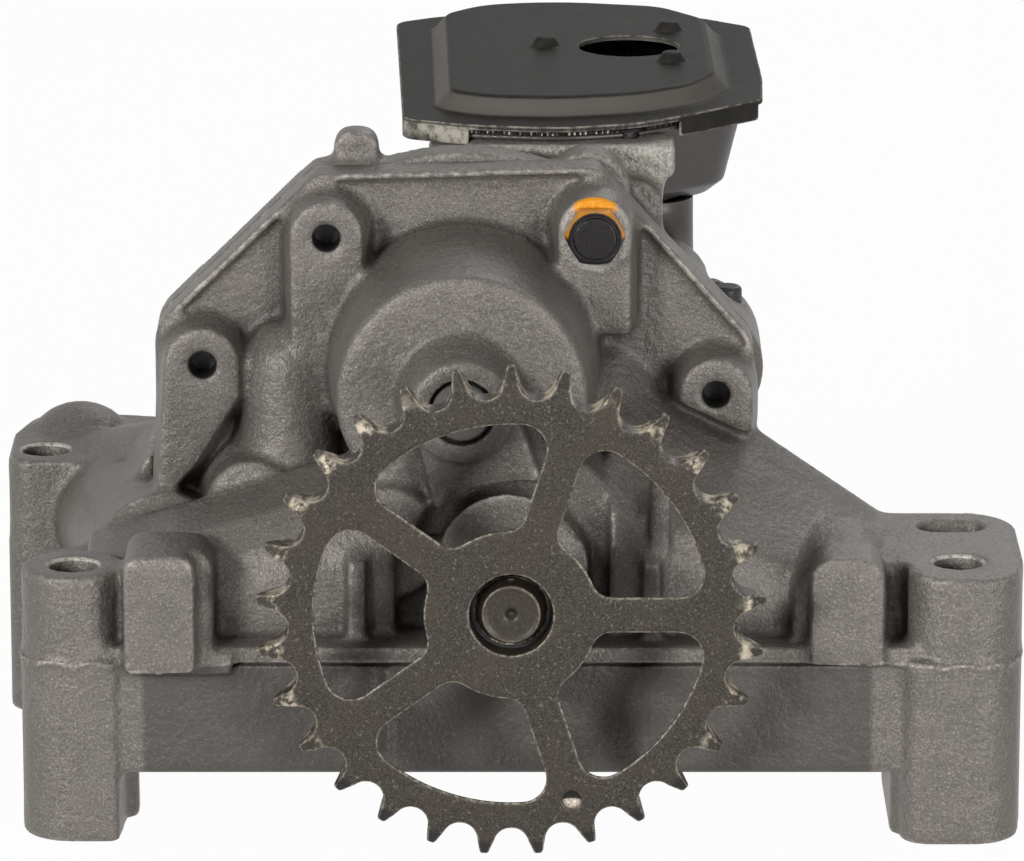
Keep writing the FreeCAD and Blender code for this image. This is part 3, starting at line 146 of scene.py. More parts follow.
# Distance fields, from which the castings are made
class Field:
    """Signed distances on a regular grid: negative inside the metal, in millimetres."""

    far = 9.0
    border = 4.0

    def __init__(self, low, high, voxel):
        self.voxel = voxel
        self.first = [int(math.floor(value / voxel)) for value in low]
        counts = [int(math.ceil(h / voxel)) - f + 1 for h, f in zip(high, self.first)]
        self.axes = [(np.arange(count) + first) * voxel for count, first in zip(counts, self.first)]
        self.values = np.full(counts, self.far, np.float32)

    def part(self, low, high):
        """The slices and coordinates of the cells between two corners."""
        slices = []
        for axis, a, b in zip(self.axes, low, high):
            slices.append(slice(int(np.searchsorted(axis, a)), int(np.searchsorted(axis, b, "right"))))
        x = self.axes[0][slices[0]][:, None, None].astype(np.float32)
        y = self.axes[1][slices[1]][None, :, None].astype(np.float32)
        z = self.axes[2][slices[2]][None, None, :].astype(np.float32)
        return tuple(slices), x, y, z

    def add(self, shape, low, high, blend=0.0):
        """Joins a shape, given as a distance function, within a box, with a fillet at the join."""
        where, x, y, z = self.part([v - self.border for v in low], [v + self.border for v in high])
        self.values[where] = smooth_least(self.values[where], shape(x, y, z), blend)

    def carve(self, shape, low, high, blend=0.0):
        """Takes a shape away within a box."""
        where, x, y, z = self.part([v - self.border for v in low], [v + self.border for v in high])
        self.values[where] = -smooth_least(-self.values[where], shape(x, y, z), blend)

    def trim(self, shape, low, high):
        """Keeps only what lies inside a shape, within a box."""
        where, x, y, z = self.part(low, high)
        self.values[where] = np.maximum(self.values[where], shape(x, y, z))

    def grid(self):
        grid = openvdb.FloatGrid(self.far)
        grid.transform = openvdb.createLinearTransform(self.voxel)
        grid.copyFromArray(self.values, ijk=tuple(self.first), tolerance=0.0)
        return grid

    def read(self, grid):
        grid.copyToArray(self.values, ijk=tuple(self.first))

    def surface(self, offset=0.0, adaptivity=0.0):
        """Points, triangles and quads of the surface that lies outside this one by the offset."""
        return self.grid().convertToPolygons(isovalue=offset, adaptivity=adaptivity)

    def measure(self, points, triangles, quads, band):
        """Fills the grid with the distances to a closed surface."""
        grid = openvdb.FloatGrid.createLevelSetFromPolygons(
            points=points, triangles=triangles, quads=quads,
            transform=openvdb.createLinearTransform(self.voxel), halfWidth=band / self.voxel)
        self.read(grid)

    def round_edges(self, inner, outer):
        """Fills inner corners with fillets of one radius and rounds outer edges by the other."""
        band = inner + outer + 1.5
        for offset in (inner, -(inner + outer), outer):
            points, triangles, quads = self.surface(offset)
            self.measure(points, triangles, quads, band)


def smooth_least(a, b, blend):
    """The smaller of two distances, with a fillet where they cross."""
    if blend <= 0.0:
        return np.minimum(a, b)
    share = np.clip(0.5 + 0.5 * (b - a) / blend, 0.0, 1.0)
    return b + (a - b) * share - blend * share * (1.0 - share)


def point_values(mesh, name):
    """The places ("co") or the normals ("normal") of a mesh's points."""
    values = np.empty(len(mesh.vertices) * 3, np.float32)
    mesh.vertices.foreach_get(name, values)
    return values.reshape(-1, 3)


def node_field(node, voxel, margin):
    """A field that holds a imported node, with a margin around it."""
    low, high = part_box(node)
    field = Field([v / MM - margin for v in low], [v / MM + margin for v in high], voxel)
    mesh = frame["nodes"][node].data
    mesh.calc_loop_triangles()
    points = point_values(mesh, "co") / MM
    triangles = np.empty(len(mesh.loop_triangles) * 3, np.int32)
    mesh.loop_triangles.foreach_get("vertices", triangles)
    field.measure(points, triangles.reshape(-1, 3).astype(np.uint32), None, field.border)
    return field


# Shapes as distance functions
def length2(a, b):
    return np.sqrt(a * a + b * b)


def cylinder_y(x0, z0, radius, y_from, y_to, edge=0.0):
    """A cylinder along Y whose rims are rounded by the edge."""
    middle = (y_from + y_to) / 2.0
    half = (y_to - y_from) / 2.0

    def shape(x, y, z):
        side = length2(x - x0, z - z0) - radius + edge
        end = np.abs(y - middle) - half + edge
        out = length2(np.maximum(side, 0.0), np.maximum(end, 0.0))
        return out + np.minimum(np.maximum(side, end), 0.0) - edge
    low = (x0 - radius, y_from, z0 - radius)
    high = (x0 + radius, y_to, z0 + radius)
    return shape, low, high


def cone_y(x0, z0, front_radius, back_radius, y_from, y_to):
    """A cone along Y, from one radius in front to another behind."""
    slope = (back_radius - front_radius) / (y_to - y_from)
    steepness = math.sqrt(1.0 + slope * slope)

    def shape(x, y, z):
        side = (length2(x - x0, z - z0) - front_radius - slope * (y - y_from)) / steepness
        end = np.maximum(y_from - y, y - y_to)
        return np.maximum(side, end)
    widest = max(front_radius, back_radius)
    return shape, (x0 - widest, y_from, z0 - widest), (x0 + widest, y_to, z0 + widest)


def rounded_box(low, high, edge):
    """A box whose edges are rounded."""
    middle = [(a + b) / 2.0 for a, b in zip(low, high)]
    half = [(b - a) / 2.0 - edge for a, b in zip(low, high)]

    def shape(x, y, z):
        qx = np.abs(x - middle[0]) - half[0]
        qy = np.abs(y - middle[1]) - half[1]
        qz = np.abs(z - middle[2]) - half[2]
        out = np.sqrt(np.maximum(qx, 0.0) ** 2 + np.maximum(qy, 0.0) ** 2 + np.maximum(qz, 0.0) ** 2)
        return out + np.minimum(np.maximum(np.maximum(qx, qy), qz), 0.0) - edge
    return shape, low, high


def polygon_distance(outline, u, v):
    """Signed distance from a closed outline in its own plane."""
    nearest = np.full(np.broadcast(u, v).shape, 1e9, np.float32)
    inside = np.zeros(nearest.shape, bool)
    count = len(outline)
    for index in range(count):
        au, av = outline[index]
        bu, bv = outline[(index + 1) % count]
        du, dv = bu - au, bv - av
        along = ((u - au) * du + (v - av) * dv) / (du * du + dv * dv)
        along = np.clip(along, 0.0, 1.0)
        nearest = np.minimum(nearest, (u - au - du * along) ** 2 + (v - av - dv * along) ** 2)
        crosses = (av > v) != (bv > v)
        reach = au + (v - av) * du / (dv if abs(dv) > 1e-9 else 1e-9)
        inside ^= crosses & (u < reach)
    distance = np.sqrt(nearest)
    return np.where(inside, -distance, distance)


def ball(centre, radius):
    cx, cy, cz = centre

    def shape(x, y, z):
        return np.sqrt((x - cx) ** 2 + (y - cy) ** 2 + (z - cz) ** 2) - radius
    return shape, [c - radius for c in centre], [c + radius for c in centre]


# Meshes
def blurred(values, cells):
    """The field averaged over a few cells each way."""
    for axis in range(3):
        total = values.copy()
        for step in range(1, cells + 1):
            total += np.roll(values, -step, axis) + np.roll(values, step, axis)
        values = total / (2 * cells + 1)
    return values


def sampled(values, first, voxel, points):
    """Values of a grid at points, by straight interpolation."""
    place = points / voxel - np.array(first, np.float32)
    base = np.clip(np.floor(place).astype(np.int32), 0, np.array(values.shape) - 2)
    share = place - base
    total = np.zeros(len(points), np.float32)
    for dx in (0, 1):
        for dy in (0, 1):
            for dz in (0, 1):
                weights = np.where((dx, dy, dz), share, 1 - share)
                corner = values[base[:, 0] + dx, base[:, 1] + dy, base[:, 2] + dz]
                total += weights.prod(axis=1) * corner
    return total


def object_of(name, points, faces):
    mesh = bpy.data.meshes.new(name)
    mesh.from_pydata((points * MM).tolist(), [], faces)
    mesh.validate()
    mesh.update()
    piece = bpy.data.objects.new(name, mesh)
    bpy.context.scene.collection.objects.link(piece)
    return piece


def store(mesh, name, values):
    """Keeps one number per point for the material."""
    attribute = mesh.attributes.new(name, "FLOAT", "POINT")
    attribute.data.foreach_set("value", values.astype(np.float32))


def piece_of(name, field, adaptivity, hollow_reach=0):
    """Meshes a field, storing on its points for the material an edge measure (for worn edges, painted
    highlights and painted shade) and, where asked, the depth of its hollows (for painted shade).
    """
    points, triangles, quads = field.surface(0.0, adaptivity)
    faces = triangles[:, ::-1].tolist() + quads[:, ::-1].tolist()
    piece = object_of(name, points, faces)
    piece.data.shade_smooth()
    limit = 3.0
    depths = np.clip(field.values, -limit, limit)
    places = point_values(piece.data, "co") / MM
    # Above 0 on outer edges, where the materials paint wear and highlights; below 0 in inner corners, where
    # they paint shade.
    wear_and_shading = blurred(depths, 1) - depths
    store(piece.data, "wear_and_shading", sampled(wear_and_shading, field.first, field.voxel, places))
    if hollow_reach:
        # How deep a point lies in a hollow; the cast material paints shade with it.
        hollow_shade = depths - blurred(depths, hollow_reach)
        store(piece.data, "hollow_shade", sampled(hollow_shade, field.first, field.voxel, places))
    return piece


# Materials
class Shading:
    """Builds one material's node tree."""

    def __init__(self, name):
        self.material = bpy.data.materials.new(name)
        self.material.use_nodes = True
        self.nodes = self.material.node_tree.nodes
        self.links = self.material.node_tree.links
        self.shader = self.nodes["Principled BSDF"]
        self.place = self.nodes.new("ShaderNodeTexCoord").outputs["Object"]

    def connect(self, value, socket):
        if isinstance(value, bpy.types.NodeSocket):
            self.links.new(value, socket)
        else:
            socket.default_value = value

    def noise(self, size, detail=2.0, roughness=0.5, seed=0.0):
        """Even noise whose grains are about this many millimetres wide."""
        node = self.nodes.new("ShaderNodeTexNoise")
        node.noise_dimensions = "4D"
        self.links.new(self.place, node.inputs["Vector"])
        node.inputs["W"].default_value = seed
        node.inputs["Scale"].default_value = 1.0 / (size * MM)
        node.inputs["Detail"].default_value = detail
        node.inputs["Roughness"].default_value = roughness
        return node.outputs["Fac"]

    def spread(self, value, low, high, to_low=0.0, to_high=1.0):
        """Stretches the part of a value between two levels over a new range."""
        node = self.nodes.new("ShaderNodeMapRange")
        node.interpolation_type = "SMOOTHSTEP"
        self.connect(value, node.inputs["Value"])
        node.inputs["From Min"].default_value = low
        node.inputs["From Max"].default_value = high
        node.inputs["To Min"].default_value = to_low
        node.inputs["To Max"].default_value = to_high
        return node.outputs["Result"]

    def mix(self, share, a, b):
        """The first colour where the share is 0 and the second where it is 1."""
        node = self.nodes.new("ShaderNodeMix")
        node.data_type = "RGBA"
        self.connect(share, node.inputs["Factor"])
        self.connect(a, node.inputs["A"])
        self.connect(b, node.inputs["B"])
        return node.outputs["Result"]

    def math(self, operation, a, b):
        node = self.nodes.new("ShaderNodeMath")
        node.operation = operation
        self.connect(a, node.inputs[0])
        self.connect(b, node.inputs[1])
        return node.outputs["Value"]

    def product(self, first, *others):
        """Several shares multiplied."""
        for other in others:
            first = self.math("MULTIPLY", first, other)
        return first

    def stored(self, name):
        """A number that the mesh keeps on its points."""
        node = self.nodes.new("ShaderNodeAttribute")
        node.attribute_name = name
        return node.outputs["Fac"]

    def bump(self, height, depth):
        """Relief of this depth in millimetres, on top of the relief that is already there."""
        node = self.nodes.new("ShaderNodeBump")
        node.inputs["Distance"].default_value = depth * MM
        self.connect(height, node.inputs["Height"])
        for link in self.shader.inputs["Normal"].links:
            self.links.new(link.from_socket, node.inputs["Normal"])
        self.links.new(node.outputs["Normal"], self.shader.inputs["Normal"])

    def along(self, axis):
        """The place along one axis, in metres."""
        split = self.nodes.new("ShaderNodeSeparateXYZ")
        self.links.new(self.place, split.inputs["Vector"])
        return split.outputs[axis]

    def near(self, axis, low, high, fade):
        """1 between two heights along an axis, in millimetres, fading out beyond them."""
        value = self.along(axis)
        above = self.spread(value, (low - fade) * MM, low * MM)
        below = self.spread(value, high * MM, (high + fade) * MM, 1.0, 0.0)
        return self.product(above, below)

    def reach(self, first, second, a, b):
        """Distance in metres from a line that crosses two axes at a and b, in millimetres."""
        across = self.math("SUBTRACT", self.along(first), a * MM)
        up = self.math("SUBTRACT", self.along(second), b * MM)
        squares = self.math("ADD", self.product(across, across), self.product(up, up))
        return self.math("SQRT", squares, 0.0)

    def reach_y(self, x, z):
        """Distance in metres from an axis along Y."""
        return self.reach("X", "Z", x, z)

    def finish(self, color, roughness, metallic):
        """Connects the colour and the gloss, and hands over the material."""
        self.connect(color, self.shader.inputs["Base Color"])
        self.connect(roughness, self.shader.inputs["Roughness"])
        self.shader.inputs["Metallic"].default_value = metallic
        return self.material


def linear(red, green, blue):
    """A colour as it looks on a screen, from 0 to 255, made ready for a shader."""
    values = []
    for channel in (red, green, blue):
        part = channel / 255.0
        values.append(part / 12.92 if part <= 0.04045 else ((part + 0.055) / 1.055) ** 2.4)
    return (values[0], values[1], values[2], 1.0)


cast_colors = (linear(74, 70, 66), linear(112, 107, 102), linear(170, 164, 156))
cast_metallic = 0.25
paint_color = linear(216, 143, 24)


def front_of(node):
    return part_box(node)[0][1] / MM


def cast_shading(name):
    """Cast aluminium: grit, pits, slow stains, scuffed outer edges lightened partly as a painted highlight,
    and painted shade in hollows and inner corners.
    """
    s = Shading(name)
    dark, middle, light = cast_colors
    grain = s.noise(0.42, 2.0, 0.6)
    coarse = s.noise(1.25, 3.0, 0.6, 5.0)
    swell = s.noise(5.5, 2.0, 0.5, 8.0)
    pits = s.noise(0.9, 1.0, 0.4, 11.0)
    stains = s.noise(7.0, 5.0, 0.65, 3.0)
    color = s.mix(s.spread(stains, 0.3, 0.7, 0.0, 0.32), middle, dark)
    color = s.mix(s.spread(grain, 0.52, 0.72, 0.0, 0.5), color, light)
    color = s.mix(s.spread(grain, 0.48, 0.28, 0.0, 0.65), color, dark)
    # Painted shade: darker in hollows.
    color = s.mix(s.spread(s.stored("hollow_shade"), 0.3, 1.0, 0.0, 0.55), color, linear(38, 35, 32))
    color = s.mix(s.spread(pits, 0.3, 0.2, 0.0, 0.6), color, dark)
    edge = s.stored("wear_and_shading")
    scuffs_and_sheen = s.spread(s.noise(1.8, 4.0, 0.7, 7.0), 0.42, 0.62, 0.12, 1.0)
    # Outer edges lightened: scuffed wear, partly a painted highlight.
    color = s.mix(s.product(s.spread(edge, 0.035, 0.12, 0.0, 0.7), scuffs_and_sheen), color, light)
    # Painted shade: darker in inner corners.
    color = s.mix(s.spread(edge, -0.03, -0.12, 0.0, 0.5), color, dark)
    s.bump(swell, 0.5)
    s.bump(coarse, 0.34)
    s.bump(grain, 0.1)
    s.shader.inputs["Specular IOR Level"].default_value = 0.38
    return s, color, s.spread(grain, 0.3, 0.7, 0.36, 0.5)


def front_casting_material():
    """The front casting: a bright bolt seat with a smear of the fitter's paint, painted shade in the tapped
    holes and on the set-back lower wall, rubbed feet.
    """
    s, color, roughness = cast_shading("cast_aluminium")
    x, z = bolt_d
    front = s.near("Y", bolt_boss_front - 1.0, bolt_boss_front + 0.6, 0.4)
    uneven = s.spread(s.noise(1.5, 3.0, 0.6, 6.0), 0.3, 0.7, -0.6 * MM, 0.6 * MM)
    ragged = s.math("ADD", s.reach_y(x, z), uneven)
    seat = s.spread(ragged, 6.8 * MM, 7.6 * MM, 1.0, 0.0)
    color = s.mix(s.product(seat, front, 0.35), color, linear(190, 187, 178))
    above = s.product(s.near("Z", z + 4.6, z + 20.0, 0.8), s.near("X", x - 3.4, x + 3.4, 1.2))
    smear = s.spread(ragged, 7.0 * MM, 7.4 * MM, 1.0, 0.0)
    color = s.mix(s.product(smear, above, front), color, paint_color)
    # Painted shade: the inside of the tapped holes made near black.
    inside = s.near("Y", bolt_boss_front + 0.9, 0.0, 0.8)
    for x, z in (bolt_a, bolt_b, bolt_c):
        hole = s.spread(s.reach_y(x, z), (tapped_radius + 0.1) * MM, (tapped_radius + 0.25) * MM, 0.9, 0.0)
        color = s.mix(s.product(hole, inside), color, linear(16, 15, 14))
    # Painted shade: the lower wall, set back under the ledge, made darker.
    wall = s.product(s.near("Z", 5.0, parting_height - 0.2, 0.2), s.near("X", wall_left, wall_right, 1.5),
                     s.near("Y", wall_front - 2.5, wall_front + 8.5, 1.0), 0.75)
    color = s.mix(wall, color, linear(68, 65, 62))
    top = s.near("Z", foot_top - 0.7, foot_top + 1.0, 0.2)
    chips = s.spread(s.noise(1.3, 2.0, 0.6, 21.0), 0.35, 0.55, 0.3, 1.0)
    for x, y in feet:
        reach = s.reach("Y", "X", y, x)
        outside_bore = s.spread(reach, 4.2 * MM, 4.4 * MM)
        close_to_bore = s.spread(reach, 4.9 * MM, 5.3 * MM, 1.0, 0.0)
        color = s.mix(s.product(outside_bore, close_to_bore, top, chips), color, linear(196, 190, 180))
    return s.finish(color, roughness, cast_metallic)


def rear_casting_material():
    """The rear casting: the wall that carries the strainer is paler and rougher."""
    s, color, roughness = cast_shading("cast_aluminium_rear")
    wall = s.product(s.near("Z", 100.0, 130.0, 3.0), s.near("Y", -12.5, 10.0, 1.0))
    grit = s.spread(s.noise(0.8, 3.0, 0.7, 13.0), 0.35, 0.6, 0.15, 0.75)
    color = s.mix(s.product(wall, grit), color, linear(176, 173, 164))
    return s.finish(color, roughness, cast_metallic)


def steel_material(name, dark, light, rough, grain_size=0.5, relief=0.03, metallic=0.6):
    """Bare or dark steel with a speckle, and brighter outer edges where the piece has them."""
    s = Shading(name)
    grain = s.noise(grain_size, 3.0, 0.6)
    color = s.mix(s.spread(grain, 0.35, 0.7, 0.0, 0.6), dark, light)
    color = s.mix(s.spread(s.noise(6.0, 2.0, 0.5, 2.0), 0.35, 0.7, 0.0, 0.3), color, dark)
    color = s.mix(s.spread(s.stored("wear_and_shading"), 0.02, 0.08, 0.0, 0.7), color, light)
    s.bump(grain, relief)
    return s.finish(color, s.spread(grain, 0.3, 0.7, rough - 0.06, rough + 0.06), metallic)


def sprocket_material():
    """Dark sintered steel: fine brown-grey speckle, bare patches where the chain runs, painted highlights on
    the side bevels and in the punched dimple, and painted shade in the countersink gap, on the lowest tooth
    tips and in the dimple.
    """
    s = Shading("sprocket_steel")
    black = linear(20, 17, 15)
    grain = s.noise(0.3, 2.0, 0.65)
    color = s.mix(s.spread(grain, 0.36, 0.64), linear(27, 24, 20), linear(67, 62, 54))
    color = s.mix(s.spread(s.noise(0.55, 2.0, 0.5, 4.0), 0.6, 0.7, 0.0, 0.6), color, linear(118, 111, 100))
    color = s.mix(s.spread(s.noise(12.0, 3.0, 0.5, 12.0), 0.4, 0.65, 0.0, 0.3), color, linear(68, 54, 46))
    reach = s.reach_y(shaft_x, shaft_z)
    # Painted shade in the gap between the countersink and the shaft.
    gap = s.spread(reach, (countersink_radius - 0.15) * MM, countersink_radius * MM, 0.9, 0.0)
    color = s.mix(gap, color, linear(14, 12, 10))
    # Painted shade: the bevelled tips of the lowest teeth, which face down, made near black.
    tips = s.spread(reach, (tooth_tip - 3.4) * MM, (tooth_tip - 2.2) * MM, 0.0, 0.95)
    lowest = s.near("Z", 0.0, shaft_z - 32.0, 10.0)
    color = s.mix(s.product(tips, lowest), color, black)
    # Punched dimple: painted shade over it, and a speckled painted highlight on its lower half.
    mark = s.spread(s.reach_y(mark_x, mark_z), 1.6 * MM, 1.8 * MM, 1.0, 0.0)
    color = s.mix(mark, color, black)
    lower_half = s.near("Z", mark_z - 3.0, mark_z - 0.2, 0.3)
    glints = s.spread(s.noise(0.5, 2.0, 0.6, 17.0), 0.35, 0.6, 0.35, 1.0)
    color = s.mix(s.product(mark, lower_half, glints), color, linear(196, 184, 172))
    # Bare patches where the chain rubs the flanks, and painted highlights on the side bevels.
    patches = s.spread(s.noise(2.6, 4.0, 0.7, 9.0), 0.44, 0.6)
    color = s.mix(s.product(s.stored("chain_wear_and_glint"), patches), color, linear(196, 184, 162))
    thin = s.spread(s.noise(0.9, 2.0, 0.6, 15.0), 0.4, 0.6, 0.15, 1.0)
    edge = s.spread(s.stored("wear_and_shading"), 0.012, 0.04, 0.0, 0.8)
    color = s.mix(s.product(edge, thin), color, linear(168, 160, 144))
    s.bump(grain, 0.04)
    return s.finish(color, s.spread(grain, 0.3, 0.7, 0.42, 0.56), 0.3)


def shaft_end_material():
    """The shaft: brown-grey end face, a darker chamfer and a painted highlight ring where the chamfer ends.
    """
    s = Shading("shaft_end_steel")
    grain = s.noise(0.5, 3.0, 0.6)
    color = s.mix(s.spread(grain, 0.35, 0.7), linear(36, 31, 26), linear(62, 55, 46))
    color = s.mix(s.spread(s.noise(3.0, 3.0, 0.6, 6.0), 0.4, 0.65, 0.0, 0.5), color, linear(50, 40, 31))
    behind_face = s.near("Y", shaft_front + 0.5, 0.0, 0.2)
    color = s.mix(s.product(behind_face, 0.4), color, linear(30, 26, 22))
    patches = s.spread(s.noise(1.2, 2.0, 0.6, 3.0), 0.35, 0.6, 0.35, 1.0)
    # Painted highlight: a bright ring where the chamfer ends.
    chamfer_end = shaft_front + shaft_chamfer
    ring = s.near("Y", chamfer_end - 0.25, chamfer_end + 0.35, 0.1)
    color = s.mix(s.product(ring, patches), color, linear(150, 140, 126))
    # Outer edges lightened: wear, partly a painted highlight.
    worn_and_lit = s.product(s.spread(s.stored("wear_and_shading"), 0.01, 0.04), patches)
    color = s.mix(worn_and_lit, color, linear(112, 103, 92))
    s.bump(grain, 0.03)
    return s.finish(color, 0.42, 0.25)


def painted_bolt_material():
    """The front bolt: dark steel, with a fitter's paint on its upper flats and painted shade in its groove
    and inner corners.
    """
    s = Shading("painted_bolt")
    grain = s.noise(0.4, 3.0, 0.6)
    color = s.mix(s.spread(grain, 0.35, 0.7), linear(20, 17, 18), linear(36, 32, 33))
    # Painted shade: darker in the groove and inner corners of the head.
    color = s.mix(s.spread(s.stored("wear_and_shading"), -0.01, -0.05, 0.0, 0.9), color, linear(14, 12, 12))
    uneven = s.spread(s.noise(1.6, 3.0, 0.6, 6.0), 0.3, 0.7, -0.3 * MM, 0.3 * MM)
    outer = s.spread(s.math("ADD", s.reach_y(*bolt_d), uneven), 4.6 * MM, 4.9 * MM)
    sides = s.near("Y", front_of("front_bolt") + 0.7, 0.0, 0.3)
    upper = s.near("Z", bolt_d[1] + 0.6, bolt_d[1] + 20.0, 1.0)
    color = s.mix(s.product(outer, upper, sides), color, paint_color)
    s.bump(grain, 0.012)
    s.shader.inputs["Specular IOR Level"].default_value = 0.3
    return s.finish(color, 0.42, 0.1)


def lid_material():
    """Dark satin steel sheet, with painted light on its sloping sides, and rubbed bright along its rim and on
    the left tab.
    """
    s = Shading("lid_steel")
    streaks = s.noise(3.0, 4.0, 0.6, 2.0)
    color = s.mix(s.spread(streaks, 0.35, 0.65), linear(45, 44, 42), linear(56, 54, 52))
    # Painted light: the sloping sides of the dome made paler than its top.
    slopes = s.near("Z", rim_top + 0.5, rim_top + dome_height - 0.7, 0.4)
    color = s.mix(slopes, color, linear(100, 96, 91))
    rubbed = s.spread(s.noise(2.4, 4.0, 0.65, 5.0), 0.4, 0.6, 0.2, 1.0)
    bright = linear(176, 171, 160)
    color = s.mix(s.product(s.spread(s.stored("wear_and_shading"), 0.03, 0.09, 0.0, 0.9), rubbed), color, bright)
    tab = s.product(s.near("Z", 110.0, rim_top - 0.9, 0.5), s.near("X", -30.0, -5.0, 0.5))
    color = s.mix(s.product(tab, rubbed), color, bright)
    s.bump(s.noise(0.5, 2.0), 0.006)
    s.shader.inputs["Specular IOR Level"].default_value = 0.03
    return s.finish(color, s.spread(streaks, 0.3, 0.7, 0.42, 0.5), 0.08)


def wire_material():
    """Wire cloth: painted highlights on the crowns of the wires, within a band along Y, over painted shade in
    the gaps.
    """
    s = Shading("wire_cloth")
    pitch = 1.05
    row = s.math("SINE", s.math("MULTIPLY", s.along("X"), 2.0 * math.pi / (pitch * MM)), 0.0)
    wires = s.math("ADD", row, s.spread(s.noise(0.9, 1.0, 0.4, 4.0), 0.3, 0.7, -0.9, 0.6))
    # Painted highlights on the wire crowns; elsewhere painted shade, near black.
    crowns = s.product(s.spread(wires, 0.5, 1.0), s.near("Y", -20.0, -6.0, 2.0))
    color = s.mix(crowns, linear(14, 13, 12), linear(176, 170, 156))
    s.bump(wires, 0.15)
    return s.finish(color, 0.45, 0.4)


def rubber_material():
    s = Shading("seal_rubber")
    grain = s.noise(0.8, 2.0)
    s.bump(grain, 0.02)
    return s.finish(s.mix(grain, linear(14, 14, 14), linear(30, 30, 30)), 0.7, 0.0)


shaft_metal = steel_material("shaft_steel", linear(46, 42, 40), linear(78, 72, 67), 0.42)
pin_metal = steel_material("pin_steel", linear(88, 86, 82), linear(112, 110, 105), 0.42, 0.5, 0.02, 0.3)
gear_metal = steel_material("gear_steel", linear(120, 118, 114), linear(170, 168, 163), 0.32, 0.3, 0.01, 0.9)
bolt_metal = steel_material("bolt_steel", linear(44, 41, 42), linear(84, 80, 80), 0.45, 0.35, 0.02, 0.4)
stamped_metal = steel_material("stamped_steel", linear(70, 67, 65), linear(86, 83, 80), 0.42, 0.5, 0.006, 0.4)
bronze = steel_material("bush_bronze", linear(122, 92, 48), linear(176, 140, 84), 0.35, 0.4, 0.01, 0.9)

slot_materials = {
    "cast_aluminium": front_casting_material(),
    "sprocket_steel": sprocket_material(),
    "shaft_steel": shaft_metal,
    "gear_steel": gear_metal,
    "spring_steel": gear_metal,
    "bolt_steel": bolt_metal,
    "stamped_steel": stamped_metal,
    "wire_cloth": wire_material(),
    "bush_bronze": bronze,
    "seal_rubber": rubber_material(),
}
node_materials = {
    "rear_cover": rear_casting_material(),
    "strainer_cover": lid_material(),
    "driven_gear_pin": pin_metal,
    "front_bolt": painted_bolt_material(),
    "drive_shaft": shaft_end_material(),
}
node_slots = {entry["node"]: entry["material_slot"] for entry in frame["record"]["subparts"]}
node_bodies = {}
for body, members in frame["record"]["behaviour"]["bodies"].items():
    for member in members:
        node_bodies[member] = body


def material_of(node):
    return node_materials.get(node) or slot_materials[node_slots[node]]


def dress_nodes():
    for node, piece in frame["nodes"].items():
        piece.data.materials.clear()
        piece.data.materials.append(material_of(node))


def stand_for(piece, node):
    """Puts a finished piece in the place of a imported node."""
    piece.data.materials.append(material_of(node))
    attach(piece, node_bodies[node])
    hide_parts(node)


def keep_inside(field, node):
    """Trims a field to the box of its node."""
    low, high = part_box(node)
    shapes = ((-1, 1, 1), (1, -1, 1), (1, 1, -1))
    for axis, shape, least, most in zip(field.axes, shapes, low, high):
        beyond = np.maximum(least / MM - axis, axis - most / MM).reshape(shape).astype(np.float32)
        field.values[:] = np.maximum(field.values, beyond)


# The two castings
def parting_fin(field):
    """The thin uneven fin that the two halves of the mould leave, strongest at the feet."""
    reach = 0.9
    low = (field.axes[0][0], field.axes[1][0], parting_height - reach)
    high = (field.axes[0][-1], field.axes[1][-1], parting_height + reach)
    where, x, y, z = field.part(low, high)
    wave = np.sin(1.7 * x + 0.6 * y) * np.sin(2.3 * y - 0.9 * x) + 0.7 * np.sin(4.1 * x - 2.2 * y + 1.0)
    at_feet = np.clip((np.abs(x) - 60.0) / 4.0, 0.3, 1.0) * (y < -48.0)
    level = z - parting_height - 0.3 * np.sin(0.9 * x + 0.4 * y) * at_feet
    proud = (0.42 + 0.22 * wave) * at_feet
    field.values[where] -= proud * np.exp(-(level / 0.4) ** 2)


def ring_y(x0, z0, inner, outer, y_from, y_to):
    """A ring of square section around an axis along Y."""
    def shape(x, y, z):
        reach = length2(x - x0, z - z0)
        side = np.maximum(inner - reach, reach - outer)
        return np.maximum(side, np.maximum(y_from - y, y - y_to))
    return shape, (x0 - outer, y_from, z0 - outer), (x0 + outer, y_to, z0 + outer)


def upper_groove(x0, y0, z0, radius, thickness):
    """A round groove over the top of a circle that lies across Y."""
    lowest = z0 + 6.0

    def shape(x, y, z):
        reach = length2(x - x0, z - z0) - radius
        return np.maximum(length2(reach, y - y0) - thickness, lowest - z)
    widest = radius + thickness
    return shape, (x0 - widest, y0 - thickness, lowest), (x0 + widest, y0 + thickness, z0 + widest)


